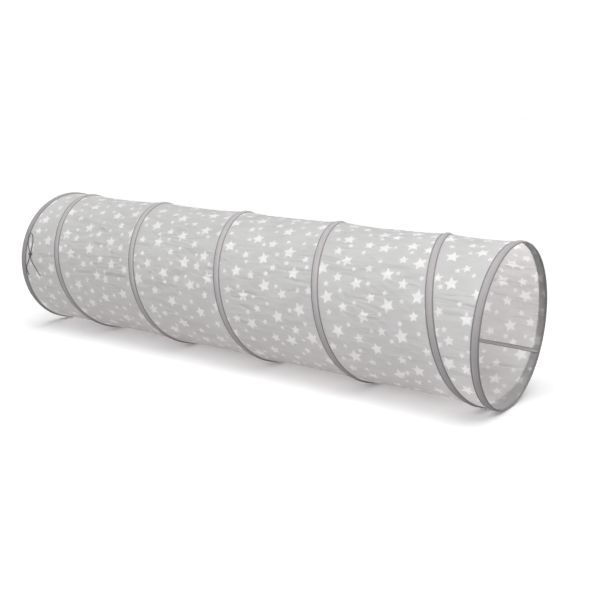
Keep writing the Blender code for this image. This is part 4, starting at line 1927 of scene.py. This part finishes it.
@dataclass
class FabricTube:
    """The tube of fabric, drawn in between the hoops, with its lengthwise seam."""

    cloth: bpy.types.Material
    reverse: bpy.types.Material
    tape: bpy.types.Material
    sewing: Sewing
    around: int = 280
    along: int = 164
    inset: float = 0.0016
    folded_length: float = 0.210132
    cut: tuple[float, float] = (1.474, 1.806)
    seam_angle: float = 239.0
    seam_width: float = 0.012
    seam_columns: int = 9
    seam_inset: float = 0.0045
    seam_row_at: float = 0.68
    row_points: int = 656
    thread_lift: float = 0.0001
    rim_hold: float = 0.034
    rim_run: float = 0.03
    free_run: float = 0.045
    long_bay: float = 0.369
    waist: float = 0.0042
    least_drop: float = 0.0010
    fold_lean: float = 26.0
    fold_lengths: Stations = (0.052, 0.081, 0.034)
    fold_depth: float = 0.0022
    fine_lengths: Stations = (0.023, 0.029)
    fine_depth: float = 0.0010
    slack_lengths: Stations = (0.31, 0.47)
    slack_middle: float = 0.65
    slack_swing: float = 0.35
    pucker_lengths: Stations = (0.024, 0.033)
    pucker_place: float = 0.034
    pucker_reach: float = 0.024
    pucker_depth: float = 0.0009
    wave_spread: tuple[float, float] = (0.85, 1.15)
    swell: float = 0.6
    swell_length: float = 5.3
    last_phase: float = 6.3
    seed: int = 5

    def bay(self, x: np.ndarray, angle: np.ndarray) -> tuple[np.ndarray, np.ndarray, np.ndarray]:
        """Where points lie between the passes of the coil.

        Args:
            x: Places along the tunnel.
            angle: Angles round it, from 0 to 360.

        Returns:
            The distance to the pass on the left, that to the pass on the right, and the coil's angle
            at the pass on the left.
        """
        left, right, turn = np.full(x.shape, -np.inf), np.full(x.shape, np.inf), np.zeros(x.shape)
        for lap in range(-1, FORM.full_turns + 2):
            coil = angle + FULL_CIRCLE * lap
            there = (coil >= FORM.coil_start) & (coil <= FORM.coil_end)
            lane = np.where(there, FORM.coil_x(coil), np.nan)
            is_left = there & (lane <= x) & (lane > left)
            left, turn = np.where(is_left, lane, left), np.where(is_left, coil, turn)
            right = np.where(there & (lane > x) & (lane < right), lane, right)
        before_coil = np.isinf(left)
        turn = np.where(before_coil, angle - FULL_CIRCLE, turn)
        left = np.where(before_coil, FORM.left_rim + FORM.rim_lane, left)
        right = np.where(np.isinf(right), FORM.right_rim - FORM.rim_lane, right)
        return np.maximum(x - left, 0.0), np.maximum(right - x, 0.0), turn

    def waves(self, turn: np.ndarray, lengths: Stations, seed: int) -> np.ndarray:
        """A sum of waves along the coil's angle, with lengths and phases drawn once.

        Args:
            turn: The coil's angle.
            lengths: Wavelengths in metres.
            seed: Seed of the phases.

        Returns:
            Values from about -1 to 1.
        """
        draw = np.random.default_rng(seed)
        arc = FORM.arc(turn) * WHOLE_TURN
        total = np.zeros(turn.shape)
        for length in lengths:
            stretch = length * draw.uniform(*self.wave_spread)
            slow = np.sin(arc / (stretch * self.swell_length) + draw.uniform(0, self.last_phase))
            total += (1 + self.swell * slow) * np.sin(arc / stretch + draw.uniform(0, self.last_phase))
        return total / len(lengths)

    def drop(self, x: np.ndarray, angle: np.ndarray) -> np.ndarray:
        """How far the fabric lies inside its hoops' radius.

        Args:
            x: Places along the tunnel.
            angle: Angles round it.

        Returns:
            Distances inwards, none below 0.
        """
        left, right, turn = self.bay(x, np.mod(angle, FULL_CIRCLE))
        width = left + right
        share = left / np.maximum(width, 1e-6)
        arch = 4 * share * (1 - share)
        long_arch = arch * np.clip(width / self.long_bay, 0, 1)
        off_tape = (np.minimum(left, right) - FORM.rim_lane) / self.free_run
        off_rim = (np.minimum(x - FORM.left_rim, FORM.right_rim - x) - self.rim_hold) / self.rim_run
        free = eased(np.clip(off_tape, 0, 1)) * eased(np.clip(off_rim, 0, 1))
        lean = (share - 0.5) * self.fold_lean
        fold = self.waves(turn + lean, self.fold_lengths, self.seed)
        fine = self.waves(turn - 2 * lean, self.fine_lengths, self.seed + 1)
        slack = self.slack_middle + self.slack_swing * self.waves(turn, self.slack_lengths, self.seed + 2)
        pucker = np.zeros(x.shape)
        for off, coil in ((left, turn), (right, turn + FULL_CIRCLE)):
            near = np.exp(-(((off - self.pucker_place) / self.pucker_reach) ** 2))
            pucker += self.waves(coil, self.pucker_lengths, self.seed + 3) * near
        amount = (self.waist + self.fold_depth * slack * fold) * long_arch + self.fine_depth * arch * fine
        return np.maximum((amount + self.pucker_depth * pucker + self.least_drop) * free, 0.0)

    def tube(self) -> bpy.types.Object:
        """The fabric itself, as a sheet with a thin wall.

        Returns:
            The tube.
        """
        angle = self.seam_angle + np.arange(self.around + 1) * FULL_CIRCLE / self.around
        x = np.linspace(FORM.left_rim + self.inset, FORM.right_rim - self.inset, self.along + 1)
        grid_angle, grid_x = np.meshgrid(angle, x, indexing="ij")
        points = FORM.place(grid_x, grid_angle, -self.drop(grid_x, grid_angle))[:-1]
        places = np.stack([grid_x, FORM.arc(grid_angle)], -1)
        obj = show(grid_mesh("fabric_tube", points, places, closed=True), self.cloth, self.reverse)
        add_wall(obj, FORM.fabric_thickness)
        obj.modifiers["wall"].material_offset = 1
        Slot.FABRIC.on(obj)
        self.squash(obj)
        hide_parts(*FORM.nodes_of("fabric_panel"))
        return obj

    def seam(self) -> bpy.types.Object:
        """The tape that binds the lengthwise seam inside, and its stitches on both sides.

        Returns:
            The seam.
        """
        half = FORM.degrees(self.seam_width / 2)
        start = self.inset + self.seam_inset
        x = np.linspace(FORM.left_rim + start, FORM.right_rim - start, self.along + 1)
        grid_x, grid_off = np.meshgrid(x, np.linspace(-half, half, self.seam_columns), indexing="ij")
        under = FORM.fabric_thickness + FORM.layer_gap
        grid_angle = self.seam_angle + grid_off
        points = FORM.place(grid_x, grid_angle, -self.drop(grid_x, grid_angle) - under)
        places = np.stack([grid_x, FORM.tape_width * (grid_off / half + 1) / 2], -1)
        mesh = grid_mesh("seam_band", points[:, ::-1], places[:, ::-1])
        band = walled("seam_band_walled", mesh, self.tape, FORM.tape_thickness)
        fine = np.linspace(x[0], x[-1], self.row_points)
        rows = []
        for side in (-self.seam_row_at, self.seam_row_at):
            angle = self.seam_angle + half * side
            wall = self.drop(fine, np.full_like(fine, angle))
            inside = wall + under + FORM.tape_thickness + self.thread_lift
            rows.append(self.sewing.row("seam_row_in", FORM.place(fine, angle, -inside)))
            rows.append(self.sewing.row("seam_row_out", FORM.place(fine, angle, self.thread_lift - wall)))
        obj = show(merged("seam_tape", [band, *rows]))
        Slot.TAPE.on(obj)
        self.squash(obj)
        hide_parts(*FORM.nodes_of("seam_tape"))
        return obj

    def squash(self, obj: bpy.types.Object) -> None:
        """Makes a piece ride the left end, with a mesh of its own.

        Args:
            obj: The piece.
        """
        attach(obj, "left_end")
        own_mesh(obj)

    def build(self) -> list[bpy.types.Object]:
        """Builds the fabric and its seam."""
        return [self.tube(), self.seam()]


# The studio


@dataclass
class Studio:
    """A pale floor, a white surround and soft lights."""

    floor_size: float = 30.0
    floor_drop: float = 0.0006
    floor_colour: Colour = (0.96, 0.96, 0.96)
    bounce_colour: Colour = (0.50, 0.49, 0.495)
    fill: float = 0.17
    surround: float = 0.195
    sun_place: Triple = (0.0, 0.0, 3.0)

    @staticmethod
    def seen(s: Sketch) -> Socket:
        """A number that is 1 for what the camera sees, also by reflection or through glass, and else 0.

        Args:
            s: The sketch that it goes into.

        Returns:
            The number's socket.
        """
        path = s.node("ShaderNodeLightPath").outputs
        mirrored = s.sum("MAXIMUM", path["Is Glossy Ray"], path["Is Transmission Ray"])
        return s.sum("MAXIMUM", path["Is Camera Ray"], mirrored)

    def floor(self) -> None:
        """Makes the floor, which brightens to white for the camera and keeps the shadow."""
        half = self.floor_size / 2
        mesh = bpy.data.meshes.new("floor")
        corners = [(-half, -half), (half, -half), (half, half), (-half, half)]
        mesh.from_pydata([(x, y, -self.floor_drop) for x, y in corners], [], [(0, 1, 2, 3)])
        material, s = new_material("pale_floor")
        seen = self.seen(s)
        colour = s.mix_colour(seen, solid(self.bounce_colour), solid(self.floor_colour))
        skin = s.call("ShaderNodeBsdfDiffuse", {"Color": colour})
        strength = s.sum("MULTIPLY", seen, self.fill)
        glow = s.call("ShaderNodeEmission", {"Color": WHITE, "Strength": strength})
        s.finish(s.call("ShaderNodeAddShader", {0: skin, 1: glow}))
        show(mesh, material)

    def world(self) -> None:
        """Makes the white surround, dimmer as a light than as a background."""
        world = bpy.data.worlds.new("studio")
        world.use_nodes = True
        s = Sketch(world.node_tree)
        strength = s.sum("MULTIPLY_ADD", self.seen(s), 1.0 - self.surround, self.surround)
        shade = s.call("ShaderNodeBackground", {"Color": WHITE, "Strength": strength})
        s.finish(shade, "ShaderNodeOutputWorld")
        bpy.context.scene.world = world

    @staticmethod
    def aimed(data: bpy.types.Light, place: Sequence[float], towards: Sequence[float]) -> None:
        """Puts a light in the scene.

        Args:
            data: The light.
            place: Where it is.
            towards: The direction that its light comes from.
        """
        lamp = bpy.data.objects.new(data.name, data)
        lamp.location = place
        lamp.rotation_euler = Vector(towards).to_track_quat("Z", "Y").to_euler()
        lamp.visible_camera = False
        bpy.context.scene.collection.objects.link(lamp)

    def distant(self, name: str, towards: Triple, spread: float, strength: float) -> None:
        """Adds a soft light that is the same everywhere.

        Args:
            name: The light's name.
            towards: The direction that the light comes from.
            spread: Its width as seen from the object, in degrees.
            strength: Its strength.
        """
        data = bpy.data.lights.new(name, "SUN")
        data.angle, data.energy = math.radians(spread), strength
        self.aimed(data, self.sun_place, towards)

    def panel(self, name: str, place: Triple, size: float, power: float) -> None:
        """Adds a square soft light, aimed at the tunnel's middle.

        Args:
            name: The light's name.
            place: Where it is.
            size: Its side.
            power: Its power in watts.
        """
        data = bpy.data.lights.new(name, "AREA")
        data.size, data.energy = size, power
        self.aimed(data, place, Vector(place) - Vector((0.0, 0.0, FORM.axis_height)))

    def build(self) -> None:
        """Builds the floor, the surround and the lights."""
        self.floor()
        self.world()
        self.distant("overhead_soft", towards=(0.16, -0.08, 1.0), spread=60.0, strength=2.18)
        self.panel("side_soft", place=(0.42, -1.6, 1.2), size=0.9, power=10.7)
        self.panel("top_soft", place=(0.35, -0.3, 1.75), size=1.0, power=3.2)
        bpy.context.scene.view_settings.view_transform = "Standard"


def main() -> None:
    """Builds the tunnel piece by piece."""
    logging.basicConfig(level=logging.INFO, format="%(message)s")
    PhotoCamera().build()
    tape = SewnTape().material()
    steel = DrawnSteel().material()
    sewing = Sewing(Thread().material())
    fold = Fold()
    CordTie(BraidedCord().material(), tape, sewing).build()
    LOG.info("cord tie done")
    # Painted shade: the left rim's tape is a darker copy of the sleeve tape, standing in for the shade at the
    # left end.
    left_rim_painted_shade = SewnTape("painted_shade_tape", middle=(0.370, 0.352, 0.358), edge=(0.205, 0.196, 0.201)).material()
    for rim in Rim:
        made = RimTape(rim, left_rim_painted_shade if rim is Rim.LEFT else tape, steel, sewing).build()
        LOG.info("%s rim: %s", rim.word, ", ".join(o.name for o in made))
    LOG.info("coil sleeve: %d pieces", len(CoilSleeve(tape, sewing, fold).build()))
    LOG.info("spring wire: %d pieces", len(SpringWire(steel, fold).build()))
    binding = SewnTape("seam_binding", middle=(0.52, 0.51, 0.515), edge=(0.34, 0.335, 0.34)).material()
    cloth = TunnelFabric()
    made = FabricTube(cloth.material(), cloth.material(reverse=True), binding, sewing).build()
    LOG.info("fabric: %s", ", ".join(o.name for o in made))
    Studio().build()


if __name__ == "__main__":
    main()
